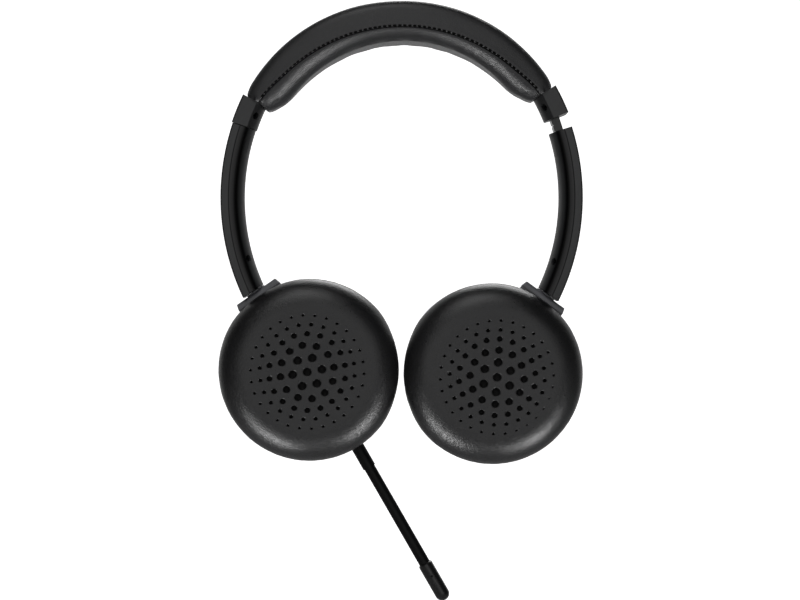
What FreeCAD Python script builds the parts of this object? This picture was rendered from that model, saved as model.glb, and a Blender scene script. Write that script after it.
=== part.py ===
import FreeCAD, Part
import os
import re

import Sketcher
from FreeCAD import Placement, Rotation, Vector

# Office headset, upright: +Z up, +X across, ear cushions facing -Y.
# The origin is the middle of the headband pad's underside.
# Millimetres and degrees.  A side is -1 (left, at -X) or +1 (right, at +X).
# A size that starts with "=" follows from others, so that the pieces keep together when one changes.

SIDES = {"left": -1, "right": 1}
FAR = 300       # past every piece
NEAR = 0.05     # near enough to be the edge that is looked for

SIZES = [
    # headband
    ("band_over_end", 12.8, "radius of the outer arc over the reach of the end faces"),
    ("band_outer_r", "=band_end_x + band_over_end", "outer arc of the headband"),
    ("band_rise", 15.4, "crown of the headband above the origin"),
    ("band_outer_drop", "=band_outer_r - band_rise", "outer arc's centre below the origin"),
    ("seam_less", 2.4, "radius of the seam's arc under that of the outer arc"),
    ("seam_r", "=band_outer_r - seam_less", "arc of the seam between cover and pad"),
    ("seam_rise", 4.7, "crown of the seam above the origin"),
    ("seam_drop", "=seam_r - seam_rise", "seam arc's centre below the origin"),
    ("pad_less", 15, "radius of the pad's underside under that of the outer arc"),
    ("pad_under_r", "=band_outer_r - pad_less", "underside of the pad, through the origin"),
    ("band_width", 30, "headband across, at the crown"),
    ("band_end_width", 19, "headband across, at the end caps"),
    ("band_edge_round", 4, "rounding of the outer long edges"),
    ("band_skin", 1.2, "thickness of the cover"),
    ("pad_inset", 0.8, "pad narrower than the cover, each side"),
    ("pad_round", 4, "rounding of the pad's lower edges"),
    ("band_narrowing_reach", 1.3, "narrowing arcs carried past the end faces, times their reach"),
    ("band_end_inside", 15.3, "headband's end face inside the arm's outer face"),
    ("band_end_x", "=arm_reach - band_end_inside", "middle of the headband's end face"),
    ("band_end_drop", 22.5, "the same point, below the origin"),
    ("band_end_slope", 31, "slope of the end face, rising outwards"),
    ("spring_inside", 5.4, "middle of the steel strip inside the outer arc"),
    ("spring_r", "=band_outer_r - spring_inside", "steel strip, middle arc, about the same centre"),
    ("spring_short", 8, "steel strip short of the end face, measured upright"),
    ("spring_thick", 0.9, "steel strip"),
    ("spring_width", 12, "steel strip"),
    # arms and end caps: arcs about one centre on each side
    ("arm_outside_cup", 34.3, "arm's outer face beyond the cup centre, arm closed"),
    ("arm_reach", "=cup_x + arm_outside_cup", "arm's outer face from the plane of symmetry"),
    ("arc_cross", "=arm_outer_r - arm_reach", "arc centre beyond the plane of symmetry"),
    ("arc_drop", 64.0, "arc centre below the origin"),
    ("arm_outer_r", 95.4, "outer face of the arm"),
    ("arm_thick", 9.5, "arm from its outer face to the crest of its inner face"),
    ("arm_inner_r", "=arm_outer_r - arm_thick", "crest of the rounded inner face"),
    ("arm_half_depth", 7.2, "half the arm's size front to back"),
    ("arm_round_r", 9.2, "radius of the rounded inner face"),
    ("arm_edge", 0.8, "rounding of the arm's outer edges"),
    ("outer_shell", 3.2, "thickness of the outer shell"),
    ("arm_parting_r", "=arm_outer_r - outer_shell", "joint between the outer and inner shell"),
    ("arm_top", 20.2, "angle of the arm's top end above level"),
    ("arm_sweep", 50, "angle swept before the lower end is trimmed"),
    ("channel_floor", 2.0, "arm's inner crest to the channel"),
    ("channel_wall", 1.3, "arm's outer face to the channel"),
    ("channel_inner_r", "=arm_inner_r + channel_floor", "channel for the rail, inner wall"),
    ("channel_outer_r", "=arm_outer_r - channel_wall", "channel for the rail, outer wall"),
    ("channel_half_depth", 4.3, "half the channel front to back"),
    ("channel_sweep", 22, "angle swept by the channel"),
    ("detent_start", 1.5, "detent spring pocket, angle below the arm's top"),
    ("detent_sweep", 5, "detent spring pocket, angle swept"),
    ("detent_depth", 1.0, "detent spring pocket, depth below the channel"),
    ("detent_inner_r", "=channel_inner_r - detent_depth", "detent spring pocket, inner wall"),
    ("detent_thick", 0.4, "leaf of the detent spring"),
    ("detent_gap", 0.15, "leaf clear of the rail"),
    ("detent_side_gap", 0.5, "leaf clear of the channel's sides"),
    ("cap_proud", 0.4, "end cap proud of the arm, all round"),
    ("cap_gap", 0.3, "end cap above the closed arm"),
    ("cap_sweep", 16, "angle swept before the cap's top is trimmed"),
    ("tenon_inside", 2.3, "arm's inner crest to the cap's tenon"),
    ("tenon_thick", 3.2, "cap's tenon in the headband core"),
    ("tenon_inner_r", "=arm_inner_r + tenon_inside", "cap's tenon, inner face"),
    ("tenon_outer_r", "=tenon_inner_r + tenon_thick", "cap's tenon, outer face"),
    ("tenon_half_depth", 5.2, "half the tenon front to back"),
    ("tenon_top", 31.5, "end of the tenon, above level"),
    # rails on which the arms slide
    ("rail_inner", 2.4, "rail's inner face inside the arm's middle arc"),
    ("rail_thick", 3.6, "rail at its root"),
    ("rail_half_depth", 3.9, "half the rail front to back"),
    ("rail_length", 27, "rail below the end cap's lower face"),
    ("rail_root", 8, "rail held inside the end cap"),
    ("rail_clear", 0.3, "rail tip clear of the channel's outer wall"),
    ("notch_pitch", 2.5, "detent notches"),
    ("notch_depth", 0.35, "detent notches"),
    # where the right arm stands
    ("draw_right", 5.3, "right arm drawn out of its cap"),
    ("turn_right", 4.3, "right arm turned in about its cap's lower face"),
    # cups
    ("cup_x", 39.8, "cup centre from the plane of symmetry, arm closed"),
    ("cup_drop", 132.4, "cup centre below the origin, arm closed"),
    ("swivel_lean", 33.2, "swivel axis from upright"),
    ("yoke_over_rim", 4.2, "top of the yoke block above the housing's rim"),
    ("yoke_top", "=housing_r + yoke_over_rim", "top of the yoke block above the cup centre"),
    ("arm_end_gap", 0.8, "arm's lower end above the yoke block"),
    ("arm_end", "=yoke_top + arm_end_gap", "arm's lower end above the cup centre"),
    ("yoke_block", 2.4, "height of the yoke block"),
    ("yoke_half_width", 9.4, "half the block at its top"),
    ("yoke_flare", 0.7, "block wider at its foot, each side"),
    ("yoke_half_depth", 4.2, "half the block front to back"),
    ("yoke_round", 1.4, "rounding of the block's top edges"),
    ("apron_over_rim", 0.5, "foot of the block's apron above the housing's rim"),
    ("apron_half_depth", 2.9, "half the apron front to back"),
    ("collar_disc_r", 4.2, "round seat under the arm's end"),
    ("turn_gap", 0.3, "round seat clear of the arm's end"),
    ("web_half_depth", 2.5, "half the web between block and barrel"),
    ("tilt_below_rim", 2.9, "tilt pin below the housing's rim"),
    ("tilt_height", "=housing_r - tilt_below_rim", "tilt pin above the cup centre"),
    ("tilt_behind", 1.5, "tilt pin behind the middle plane"),
    ("barrel_r", 3.4, "barrel of the yoke"),
    ("barrel_half", 5.5, "half the barrel's length"),
    ("barrel_gap", 0.3, "barrel clear of the housing, each end"),
    ("tilt_pin_r", 1.0, "tilt pin"),
    ("tilt_pin_half", 8.6, "half the tilt pin's length"),
    ("fit_gap", 0.05, "radial clearance of a pin that turns"),
    ("axle_r", 1.75, "swivel axle"),
    ("axle_reach", 8.2, "axle's head above the arm's lower end"),
    ("axle_top", "=arm_end + axle_reach", "underside of the axle's head"),
    ("axle_head", 0.8, "axle's head"),
    ("axle_head_r", 2.4, "axle's head"),
    ("axle_root", 4.0, "axle held inside the yoke"),
    ("bush_r", 2.6, "outside of the swivel bush"),
    ("bush_length", 8.0, "swivel bush"),
    ("bush_top", "=arm_end + bush_length", "top of the bush"),
    ("bore_depth", 9.4, "bore in the arm"),
    ("bore_top", "=arm_end + bore_depth", "top of the bore in the arm"),
    ("housing_inside", 5.3, "housing short of the plane of symmetry, arm closed"),
    ("housing_r", "=cup_x - housing_inside", "cup housing"),
    ("housing_edge", 1, "rounding of the housing's front edge"),
    ("housing_wall", 2.2, "wall of the cup housing"),
    ("housing_back", 9.8, "housing's rear rim, behind the middle plane"),
    ("housing_front", 2.2, "housing's front face"),
    ("deck_back", 0.5, "rear of the housing's front deck"),
    ("deck_open_r", 20.5, "opening in the front deck"),
    ("knuckle_half", 9.6, "half the housing's hinge box"),
    ("knuckle_over_pin", 1.3, "hinge box above the tilt pin"),
    ("knuckle_under_pin", 5.6, "hinge box below the tilt pin"),
    ("knuckle_gap", 0.3, "hinge box clear of the cover's lip"),
    ("notch_under_pin", 4.0, "notch for the barrel below the tilt pin"),
    ("notch_back", 5.2, "rear wall of the notch, behind the middle plane"),
    ("cover_back", 15, "outer face of the cup cover"),
    ("cover_dome", 0.6, "rise of the cover's face"),
    ("cover_round", 4.4, "rounding of the cover's edge"),
    ("cover_wall", 1.8, "wall of the cup cover"),
    ("cover_lip", 2.4, "depth of the cover's lip inside the housing"),
    ("cover_lip_wall", 1.2, "wall of the lip"),
    ("cover_gap", 0.1, "lip clear of the housing, and cover clear of its rim"),
    ("cushion_over", 1.5, "ear cushion over the housing's rim, all round"),
    ("cushion_r", "=housing_r + cushion_over", "ear cushion"),
    ("cushion_back", 3.5, "rear face of the cushion"),
    ("cushion_face", 17.6, "front face of the cushion"),
    ("cushion_round", 11, "rounding of the front edge"),
    ("cushion_back_round", 3.2, "rounding of the rear edge"),
    ("ring_r", 33, "cushion ring"),
    ("ring_inner_r", 26, "cushion ring"),
    ("baffle_r", 25.4, "baffle"),
    ("baffle_thick", 1.6, "baffle"),
    ("driver_r", 17, "basket of the loudspeaker"),
    ("driver_flange_r", 19.5, "flange of the loudspeaker"),
    ("driver_flange", 1.2, "flange of the loudspeaker"),
    ("driver_depth", 6, "basket behind the baffle"),
    ("driver_wall", 1.2, "wall of the basket"),
    ("magnet_r", 10, "magnet"),
    ("magnet_thick", 3.2, "magnet"),
    ("cone_thick", 0.4, "diaphragm"),
    ("cone_rise", 3, "depth of the diaphragm"),
    ("cone_flat_r", 5.7, "flat middle of the diaphragm"),
    ("cone_gap", 0.2, "diaphragm's edge clear of the basket"),
    ("mesh_thick", 0.4, "acoustic mesh"),
    ("mesh_r", 20.3, "acoustic mesh"),
    # screws
    ("screw_head_r", 1.3, "small screws"),
    ("screw_head", 1.0, "small screws"),
    ("screw_shank_r", 0.7, "small screws"),
    ("screw_length", 4.6, "small screws, under the head"),
    ("screw_socket_r", 0.6, "small screws"),
    ("screw_sunk", 1.2, "head below the surface"),
    ("screw_hole_r", 1.5, "hole down to the head"),
    ("screw_from_outer", 7.9, "screw hole from the arm's outer face"),
    ("cap_screw_angle", 23.9, "above level"),
    ("arm_screw_angle", 14.8, "below level"),
    ("baffle_screw_r", 22.6, "circle of the baffle screws"),
    ("baffle_screw_length", 2.6, "baffle screws, under the head"),
    # battery, in the left cup
    ("cell_half", 12, "battery"),
    ("cell_low", 27, "battery's far edge from the cup centre"),
    ("cell_high", 11, "battery's near edge from the cup centre"),
    ("cell_front", 7.6, "battery"),
    ("cell_thick", 4.4, "battery"),
    # microphone boom, on the left cup
    ("boom_turn", 4.9, "boom from the swivel axis, about the cup's axis"),
    ("boom_length", 112, "cup's axis to the boom's tip"),
    ("boom_gap", 0.4, "hub behind the cover"),
    ("hub_r", 13, "boom hub"),
    ("hub_thick", 5.4, "boom hub"),
    ("hub_round", 1.5, "boom hub"),
    ("pivot_r", 3.0, "pivot of the hub in the cover"),
    ("pivot_head_r", 4.2, "pivot's head inside the cover"),
    ("pivot_head", 0.8, "pivot's head"),
    ("pivot_gap", 0.3, "pivot's head clear of the cover"),
    ("boom_r", 2.35, "boom"),
    ("boom_behind", 18.2, "boom's axis behind the middle plane"),
    ("collar_r", 2.75, "collar where the boom leaves the hub"),
    ("collar_end", 48, "end of the collar from the cup's axis"),
    ("mic_r", 3.0, "microphone head"),
    ("mic_length", 17.6, "microphone head"),
    ("mic_wall", 0.9, "microphone head"),
    ("mic_edge", 0.5, "chamfer of the head's rear edge"),
    ("capsule_r", 1.9, "microphone capsule"),
    ("capsule_thick", 1.4, "microphone capsule"),
    ("mic_port_r", 0.5, "sound hole"),
    ("mic_port_from_tip", 11.7, "sound hole"),
    ("mic_cavity", 6, "length of the cavity round the capsule"),
    ("boom_root", 8, "boom's root from the cup's axis"),
    # controls, on the right cup
    ("control_behind", 3.9, "controls behind the middle plane"),
    ("button_r", 2.4, "buttons"),
    ("button_proud", 0.8, "buttons proud of the housing"),
    ("button_flange_r", 3.1, "flange inside the housing"),
    ("button_flange", 0.8, "flange inside the housing"),
    ("button_rest_gap", 0.3, "flange clear of the wall"),
    ("button_gap", 0.25, "buttons clear of their holes"),
    ("slider_half", 2.0, "power slider along the rim"),
    ("slider_half_height", 1.1, "power slider across the rim"),
    ("slider_travel", 3, "power slider"),
    ("slider_flange", 1, "plate inside the housing over the slider's edge"),
    ("usb_half_width", 4.5, "charging socket"),
    ("usb_half_height", 1.6, "charging socket"),
    ("usb_depth", 6.5, "charging socket"),
    ("usb_wall", 0.4, "charging socket"),
    ("usb_sunk", 0.6, "charging socket below the rim"),
    ("usb_tongue_half_width", 3.1, "tongue of the charging socket"),
    ("usb_tongue_sunk", 1.6, "tongue below the rim"),
    ("lens_r", 0.9, "status light"),
    ("board_r", 27, "circuit board"),
    ("board_thick", 1.0, "circuit board"),
    ("board_back", 11.9, "circuit board's rear face"),
]

CONTROL_ANGLES = {"usb_socket": -35, "volume_up_button": -75, "call_button": -90,
                  "volume_down_button": -105, "power_slider": -140, "status_lens": -55}
BAFFLE_SCREW_ANGLES = (30, 150, 270)

os.makedirs("parts", exist_ok=True)
doc = FreeCAD.newDocument("OfficeHeadset")
sheet = doc.addObject("Spreadsheet::Sheet", "dims")
for line, (alias, value, meaning) in enumerate(SIZES, 1):
    sheet.set(f"A{line}", alias)
    sheet.set(f"B{line}", str(value))
    sheet.set(f"C{line}", meaning)
    sheet.setAlias(f"B{line}", alias)
doc.recompute()

ALIASES = {alias for alias, value, meaning in SIZES}
nodes = []


def formula(text):
    """The text with each alias written as a reference to the sheet."""
    return re.sub(r"[a-z_]+", lambda m: "dims." + m[0] if m[0] in ALIASES else m[0], str(text))


def number(text):
    """The value of a formula."""
    result = sheet.evalExpression(formula(text))
    return float(getattr(result, "Value", result))


def bind(thing, **formulas):
    """Bind properties to formulas; a double underscore stands for a dot."""
    for name, text in formulas.items():
        thing.setExpression(name.replace("__", "."), formula(text))
    return thing


# ---- sketches and features ----

def add_outline(sketch, outline):
    """Add one closed outline.

    A corner is (x, y) or (x, y, r), all formulas.  With r, an arc of that radius leads to the next
    corner, counter-clockwise; with "-r" it leads there clockwise.
    """
    first = sketch.GeometryCount
    count = len(outline)
    corners = [Vector(number(corner[0]), number(corner[1]), 0) for corner in outline]
    starts = []
    ends = []
    radii = []
    for index, corner in enumerate(outline):
        here = corners[index]
        there = corners[(index + 1) % count]
        if len(corner) < 3:
            sketch.addGeometry(Part.LineSegment(here, there))
            starts.append(1)
            ends.append(2)
            continue
        clockwise = str(corner[2]).startswith("-")
        radius_text = str(corner[2]).lstrip("-")
        radius = number(radius_text)
        if clockwise:
            here, there = there, here
        chord = there - here
        half = chord.Length / 2
        across = Vector(-chord.y, chord.x, 0).normalize()
        centre = (here + there) / 2 + across * max(radius * radius - half * half, 0) ** 0.5
        start = (here - centre)
        end = (there - centre)
        circle = Part.Circle(centre, Vector(0, 0, 1), radius)
        sketch.addGeometry(Part.ArcOfCircle(circle, angle_of(start), angle_of(end)))
        starts.append(2 if clockwise else 1)
        ends.append(1 if clockwise else 2)
        radii.append((first + index, radius_text, radius))
    for index in range(count):
        following = (index + 1) % count
        sketch.addConstraint(Sketcher.Constraint(
            "Coincident", first + index, ends[index], first + following, starts[following]))
    for index, corner in enumerate(outline):
        for kind, text in zip(("DistanceX", "DistanceY"), corner):
            at = sketch.addConstraint(Sketcher.Constraint(
                kind, first + index, starts[index], number(text)))
            sketch.setExpression(f"Constraints[{at}]", formula(text))
    for geometry, text, radius in radii:
        at = sketch.addConstraint(Sketcher.Constraint("Radius", geometry, radius))
        sketch.setExpression(f"Constraints[{at}]", formula(text))


def angle_of(vector):
    """Angle of a plane vector from +X, in radians."""
    return Vector(1, 0, 0).getAngle(vector) * (1 if vector.y >= 0 else -1)


def add_circle(sketch, x, y, r):
    """Add one circle, bound to formulas."""
    at = sketch.addGeometry(Part.Circle(Vector(number(x), number(y), 0), Vector(0, 0, 1), number(r)))
    for kind, text in (("DistanceX", x), ("DistanceY", y)):
        one = sketch.addConstraint(Sketcher.Constraint(kind, at, 3, number(text)))
        sketch.setExpression(f"Constraints[{one}]", formula(text))
    one = sketch.addConstraint(Sketcher.Constraint("Radius", at, number(r)))
    sketch.setExpression(f"Constraints[{one}]", formula(r))


def draw(body, plane, outlines=(), circles=(), offset="0"):
    """A sketch on one of the body's own origin planes, moved along its normal by offset."""
    sketch = body.newObject("Sketcher::SketchObject", "sketch")
    origin_plane = [item for item in body.Origin.OriginFeatures if item.Role == plane][0]
    sketch.AttachmentSupport = [(origin_plane, "")]
    sketch.MapMode = "FlatFace"
    bind(sketch, AttachmentOffset__Base__z=offset)
    for outline in outlines:
        add_outline(sketch, outline)
    for circle in circles:
        add_circle(sketch, *circle)
    return sketch


def feature(body, kind, sketch, **formulas):
    """A sketch-based feature, recomputed."""
    made = body.newObject("PartDesign::" + kind, kind)
    made.Profile = sketch
    bind(made, **formulas)
    return made


def pad(body, sketch, length, both_ways=True, flip=False):
    made = feature(body, "Pad", sketch, Length=length)
    made.SideType = "Symmetric" if both_ways else "One side"
    made.Reversed = flip
    doc.recompute()
    return made


def pocket(body, sketch, length=FAR, both_ways=True, flip=False):
    made = feature(body, "Pocket", sketch, Length=length)
    made.SideType = "Symmetric" if both_ways else "One side"
    made.Reversed = flip
    return cuts(body, made)


def revolve(body, sketch, angle="360", flip=False):
    made = feature(body, "Revolution", sketch, Angle=angle)
    made.ReferenceAxis = (sketch, ["V_Axis"])
    made.Reversed = flip
    doc.recompute()
    return made


def groove(body, sketch, angle="360", flip=False):
    made = feature(body, "Groove", sketch, Angle=angle)
    made.ReferenceAxis = (sketch, ["V_Axis"])
    made.Reversed = flip
    return cuts(body, made)


def cuts(body, made):
    """Recompute a cutting feature and make sure that it cut something."""
    before = made.BaseFeature.Shape.Volume
    doc.recompute()
    if made.Shape.Volume > before - 1e-6:
        raise RuntimeError(f"{body.Label}: {made.Name} cuts nothing")
    return made


def fillet(body, base, radius, wanted):
    """Round the edges of base for which wanted(edge) holds."""
    names = [f"Edge{i}" for i, edge in enumerate(base.Shape.Edges, 1) if wanted(edge)]
    made = body.newObject("PartDesign::Fillet", "Fillet")
    made.Base = (base, names)
    bind(made, Radius=radius)
    doc.recompute()
    return made


def new_body(name):
    return doc.addObject("PartDesign::Body", name)


def part(kind, name, **formulas):
    """A Part primitive, bound to formulas."""
    return bind(doc.addObject("Part::" + kind, name), **formulas)


def cut(base, tool, name):
    made = doc.addObject("Part::Cut", name)
    made.Base = base
    made.Tool = tool
    doc.recompute()
    return made


def fuse(pieces, name):
    made = doc.addObject("Part::MultiFuse", name)
    made.Shapes = pieces
    doc.recompute()
    return made


def group(pieces, name):
    made = doc.addObject("Part::Compound", name)
    made.Links = pieces
    doc.recompute()
    return made


def cylinder(name, radius, height, base=Vector(), direction=Vector(0, 0, 1)):
    """A cylinder from base along direction."""
    made = part("Cylinder", name, Radius=radius, Height=height)
    made.Placement = Placement(base, Rotation(Vector(0, 0, 1), direction))
    return made


def box(name, low, high):
    """A box between two corners, each three formulas."""
    sizes = [f"({b}) - ({a})" for a, b in zip(low, high)]
    made = part("Box", name, Length=sizes[0], Width=sizes[1], Height=sizes[2])
    made.Placement = Placement(Vector(*(number(text) for text in low)), Rotation())
    return made


def keep(thing, name, frame=Placement()):
    """Name a finished sub-part and put its own frame where it belongs."""
    thing.Label = name
    thing.Placement = frame.multiply(thing.Placement)
    nodes.append(thing)
    return thing


# ---- frames ----

def leg_frame(side):
    """Where an arm's arc centre, parallel to the whole, is carried by its cap."""
    centre = Placement(Vector(-side * number("arc_cross"), 0, -number("arc_drop")), Rotation())
    if side < 0:
        return centre
    root = cap_foot(side)
    turn = Placement(Vector(), Rotation(Vector(0, 1, 0), number("turn_right")), root)
    return turn.multiply(centre)


def slide_direction(side):
    """The way the arm leaves its cap."""
    lean = number("arm_top") - (number("turn_right") if side > 0 else 0)
    return Rotation(Vector(0, 1, 0), -side * lean).multVec(Vector(0, 0, -1))


def arm_frame(side):
    """The leg frame with the arm drawn out as far as it stands."""
    drawn = number("draw_right") if side > 0 else 0
    return Placement(slide_direction(side) * drawn, Rotation()).multiply(leg_frame(side))


def cap_foot(side):
    """Middle of the arm's top end when it is closed."""
    middle = (number("arm_outer_r") + number("arm_inner_r")) / 2
    out = Rotation(Vector(0, 1, 0), -side * number("arm_top")).multVec(Vector(side * middle, 0, 0))
    return Vector(-side * number("arc_cross"), 0, -number("arc_drop")) + out


def cup_frame(side):
    """Cup centre, x across, y up the swivel axis, z towards the cushion."""
    to_cup = Vector(side * (number("cup_x") + number("arc_cross")), 0, number("arc_drop - cup_drop"))
    lean = Rotation(Vector(0, 1, 0), side * number("swivel_lean"))
    facing = Rotation(Vector(1, 0, 0), 90)
    return arm_frame(side).multiply(Placement(to_cup, lean.multiply(facing)))


# ---- headband ----

def end_wedge(body, lift="0"):
    """Trim a headband body to the two end faces, or to planes lifted above them."""
    apex = f"{lift} - (band_end_drop + band_end_x * tan(band_end_slope))"
    rise = f"{apex} + {FAR} * tan(band_end_slope)"
    outline = [("0", apex), (FAR, rise), (FAR, -FAR), (-FAR, -FAR), (-FAR, rise)]
    return pocket(body, draw(body, "XZ_Plane", [outline]))


def narrow_ends(body, inset):
    """Narrow a headband body from the crown to its ends, along one long arc on each side."""
    drop = "(band_width - band_end_width) / 2"
    radius = f"((band_end_x ^ 2 + ({drop}) ^ 2) / (band_width - band_end_width))"
    reach = "band_end_x * band_narrowing_reach"
    edge = f"band_width / 2 - ({inset}) - {radius} + sqrt(({radius}) ^ 2 - ({reach}) ^ 2)"
    front = [(f"-{reach}", f"-({edge})", radius), (reach, f"-({edge})"),
             (reach, "-band_width"), (f"-{reach}", "-band_width")]
    back = [(reach, edge, radius), (f"-{reach}", edge),
            (f"-{reach}", "band_width"), (reach, "band_width")]
    return pocket(body, draw(body, "XY_Plane", [front, back]))


def band_form(name, inset):
    """The crescent between the outer arc and the seam, inset from its outer faces."""
    body = new_body(name)
    disc = draw(body, "XZ_Plane", circles=[("0", "-band_outer_drop", f"band_outer_r - {inset}")])
    pad(body, disc, f"band_width - 2 * {inset}")
    pocket(body, draw(body, "XZ_Plane", circles=[("0", "-seam_drop", "seam_r")]))
    narrow_ends(body, inset)
    wedge = end_wedge(body)
    outer = number(f"band_outer_r - {inset}")
    centre = Vector(0, 0, -number("band_outer_drop"))

    def on_outer_rim(edge):
        middle = edge.valueAt((edge.FirstParameter + edge.LastParameter) / 2)
        radial = Vector(middle.x, 0, middle.z).sub(centre).Length
        return abs(radial - outer) < NEAR and edge.Length > outer and abs(middle.y) > 1

    fillet(body, wedge, f"band_edge_round - {inset} / 2", on_outer_rim)
    return body


def headband():
    outside = band_form("headband_outside", "0")
    inside = band_form("headband_inside", "band_skin")
    keep(cut(outside, inside, "cover"), "headband_cover")
    core = cut(band_form("core_blank", "band_skin"), strip_form("strip_slot"), "slotted_core")
    for side in SIDES.values():
        mortise = new_body("mortise")
        tenon(mortise, side)
        place_in(mortise, Placement(), cap_frame(side))
        core = cut(core, mortise, "core")
    keep(core, "headband_core")
    keep(strip_form("strip"), "headband_spring")
    headband_pad()


def strip_form(name):
    """The steel strip: a long arc of flat stock inside the core."""
    body = new_body(name)
    circles = [("0", "-band_outer_drop", "spring_r + spring_thick / 2"),
               ("0", "-band_outer_drop", "spring_r - spring_thick / 2")]
    pad(body, draw(body, "XZ_Plane", circles=circles), "spring_width")
    end_wedge(body, "spring_short")
    return body


def headband_pad():
    body = new_body("pad")
    width = "band_width - 2 * pad_inset"
    pad(body, draw(body, "XZ_Plane", circles=[("0", "-seam_drop", "seam_r")]), width)
    pocket(body, draw(body, "XZ_Plane", circles=[("0", "-pad_under_r", "pad_under_r")]))
    narrow_ends(body, "pad_inset")
    wedge = end_wedge(body)
    under = number("pad_under_r")

    def on_under_rim(edge):
        middle = edge.valueAt((edge.FirstParameter + edge.LastParameter) / 2)
        radial = Vector(middle.x, 0, middle.z + under).Length
        return abs(radial - under) < NEAR and edge.Length > under and abs(middle.y) > 1

    def on_end_corner(edge):
        middle = edge.valueAt((edge.FirstParameter + edge.LastParameter) / 2)
        radial = Vector(middle.x, 0, middle.z + under).Length
        return abs(radial - under) < NEAR and abs(middle.y) < NEAR and edge.BoundBox.YLength > 1

    fillet(body, wedge, "pad_round", lambda edge: on_under_rim(edge) or on_end_corner(edge))
    keep(body, "headband_pad")


# ---- arms ----

def arm_section(grow="0"):
    """Half-round inner face, flat sides and a flat outer face, as corners (radius, depth)."""
    hy = f"(arm_half_depth + {grow})"
    outer = f"(arm_outer_r + {grow})"
    round_r = f"(arm_round_r + {grow})"
    shoulder = f"(arm_inner_r + arm_round_r - sqrt({round_r} ^ 2 - {hy} ^ 2))"
    return hy, outer, round_r, shoulder


def ring_outline(side, corners):
    """Put corners (radius, depth, arc) on the side's half of the sketch."""
    placed = []
    for corner in corners:
        arc = list(corner[2:])
        if arc and side < 0:
            arc = [arc[0][1:] if arc[0].startswith("-") else "-" + arc[0]]
        placed.append((f"{side} * ({corner[0]})", corner[1], *arc))
    return placed


def sweep_arc(body, side, corners, start, sweep, cutter=False):
    """Revolve a section about the arm's arc centre, from start (above level) downwards."""
    sketch = draw(body, "XY_Plane", [ring_outline(side, corners)])
    turned = Rotation(Vector(0, 1, 0), -side * number(start))
    sketch.AttachmentOffset = Placement(Vector(), turned)
    make = groove if cutter else revolve
    return make(body, sketch, sweep, flip=side < 0)


def cap_gap_angle():
    return "(cap_gap / arm_outer_r * 180 / pi)"


def side_outline(side, corners):
    """Mirror corners (x, z) for the left side."""
    return [(f"{side} * ({x})", z) for x, z in corners]


def swivel_point(side, height):
    """A point on the swivel axis in the leg frame, height above the cup centre."""
    up = Vector(side * number("sin(swivel_lean)"), 0, number("cos(swivel_lean)"))
    centre = Vector(side * number("cup_x + arc_cross"), 0, number("arc_drop - cup_drop"))
    return centre + up * number(height), up


def arm_shell(side, name, corners, with_channel_pocket):
    body = new_body("arm_blank")
    sweep_arc(body, side, corners, "arm_top", "arm_sweep")
    channel = [("channel_inner_r", "-channel_half_depth"), ("channel_outer_r", "-channel_half_depth"),
               ("channel_outer_r", "channel_half_depth"), ("channel_inner_r", "channel_half_depth")]
    sweep_arc(body, side, channel, "arm_top + 1", "channel_sweep", cutter=True)
    if with_channel_pocket:
        pocket_corners = [("detent_inner_r", "-channel_half_depth"),
                          ("channel_inner_r + 1", "-channel_half_depth"),
                          ("channel_inner_r + 1", "channel_half_depth"),
                          ("detent_inner_r", "channel_half_depth")]
        sweep_arc(body, side, pocket_corners, "arm_top - detent_start", "detent_sweep", cutter=True)
    trim_arm_end(body, side)
    bored = cut(body, swivel_bore(side), "bored")
    keep(cut(bored, screw_hole(side, "-arm_screw_angle"), "shell"), name, arm_frame(side))


def trim_arm_end(body, side):
    """Cut the arm off square to the swivel axis."""
    outline = []
    for across, along in ((-25, 0), (25, 0), (25, -40), (-25, -40)):
        height = f"(arm_end + {along})"
        outline.append((f"{side} * (cup_x + arc_cross + {height} * sin(swivel_lean)) "
                        f"+ {across} * cos(swivel_lean)",
                        f"arc_drop - cup_drop + {height} * cos(swivel_lean) "
                        f"- {across * side} * sin(swivel_lean)"))
    pocket(body, draw(body, "XZ_Plane", [outline]))


def swivel_bore(side):
    base, up = swivel_point(side, "arm_end - 1")
    return cylinder("bore", "bush_r", "bore_top - arm_end + 1", base, up)


def screw_line(side, angle, grow="0"):
    """Where a screw enters the rounded inner face, and the way it goes in."""
    depth_from_centre = number("arm_inner_r + arm_round_r - arm_outer_r + screw_from_outer")
    face_r = number(f"arm_round_r + {grow}")
    radial = Rotation(Vector(0, 1, 0), -side * number(angle)).multVec(Vector(side, 0, 0))
    sideways = (face_r ** 2 - depth_from_centre ** 2) ** 0.5
    entry = radial * number("arm_outer_r - screw_from_outer") + Vector(0, -sideways, 0)
    inwards = (radial * depth_from_centre + Vector(0, sideways, 0)).normalize()
    return entry, inwards


def screw_hole(side, angle, grow="0"):
    entry, inwards = screw_line(side, angle, grow)
    mouth = cylinder("mouth", "screw_hole_r", "screw_sunk + screw_head + 1", entry - inwards, inwards)
    seat = entry + inwards * number("screw_sunk + screw_head")
    shank = cylinder("shank_hole", "screw_shank_r", "screw_length", seat, inwards)
    return fuse([mouth, shank], "screw_hole")


def screw(length, base, inwards):
    """A small screw with its head's underside at base."""
    head_top = base - inwards * number("screw_head")
    head = cylinder("head", "screw_head_r", "screw_head", head_top, inwards)
    shank = cylinder("shank", "screw_shank_r", length, base, inwards)
    socket = cylinder("socket", "screw_socket_r", "screw_head / 2", head_top, inwards)
    return cut(fuse([head, shank], "screw_blank"), socket, "screw")


def sunk_screw(side, angle, grow="0"):
    entry, inwards = screw_line(side, angle, grow)
    return screw("screw_length", entry + inwards * number("screw_sunk + screw_head"), inwards)


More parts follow.
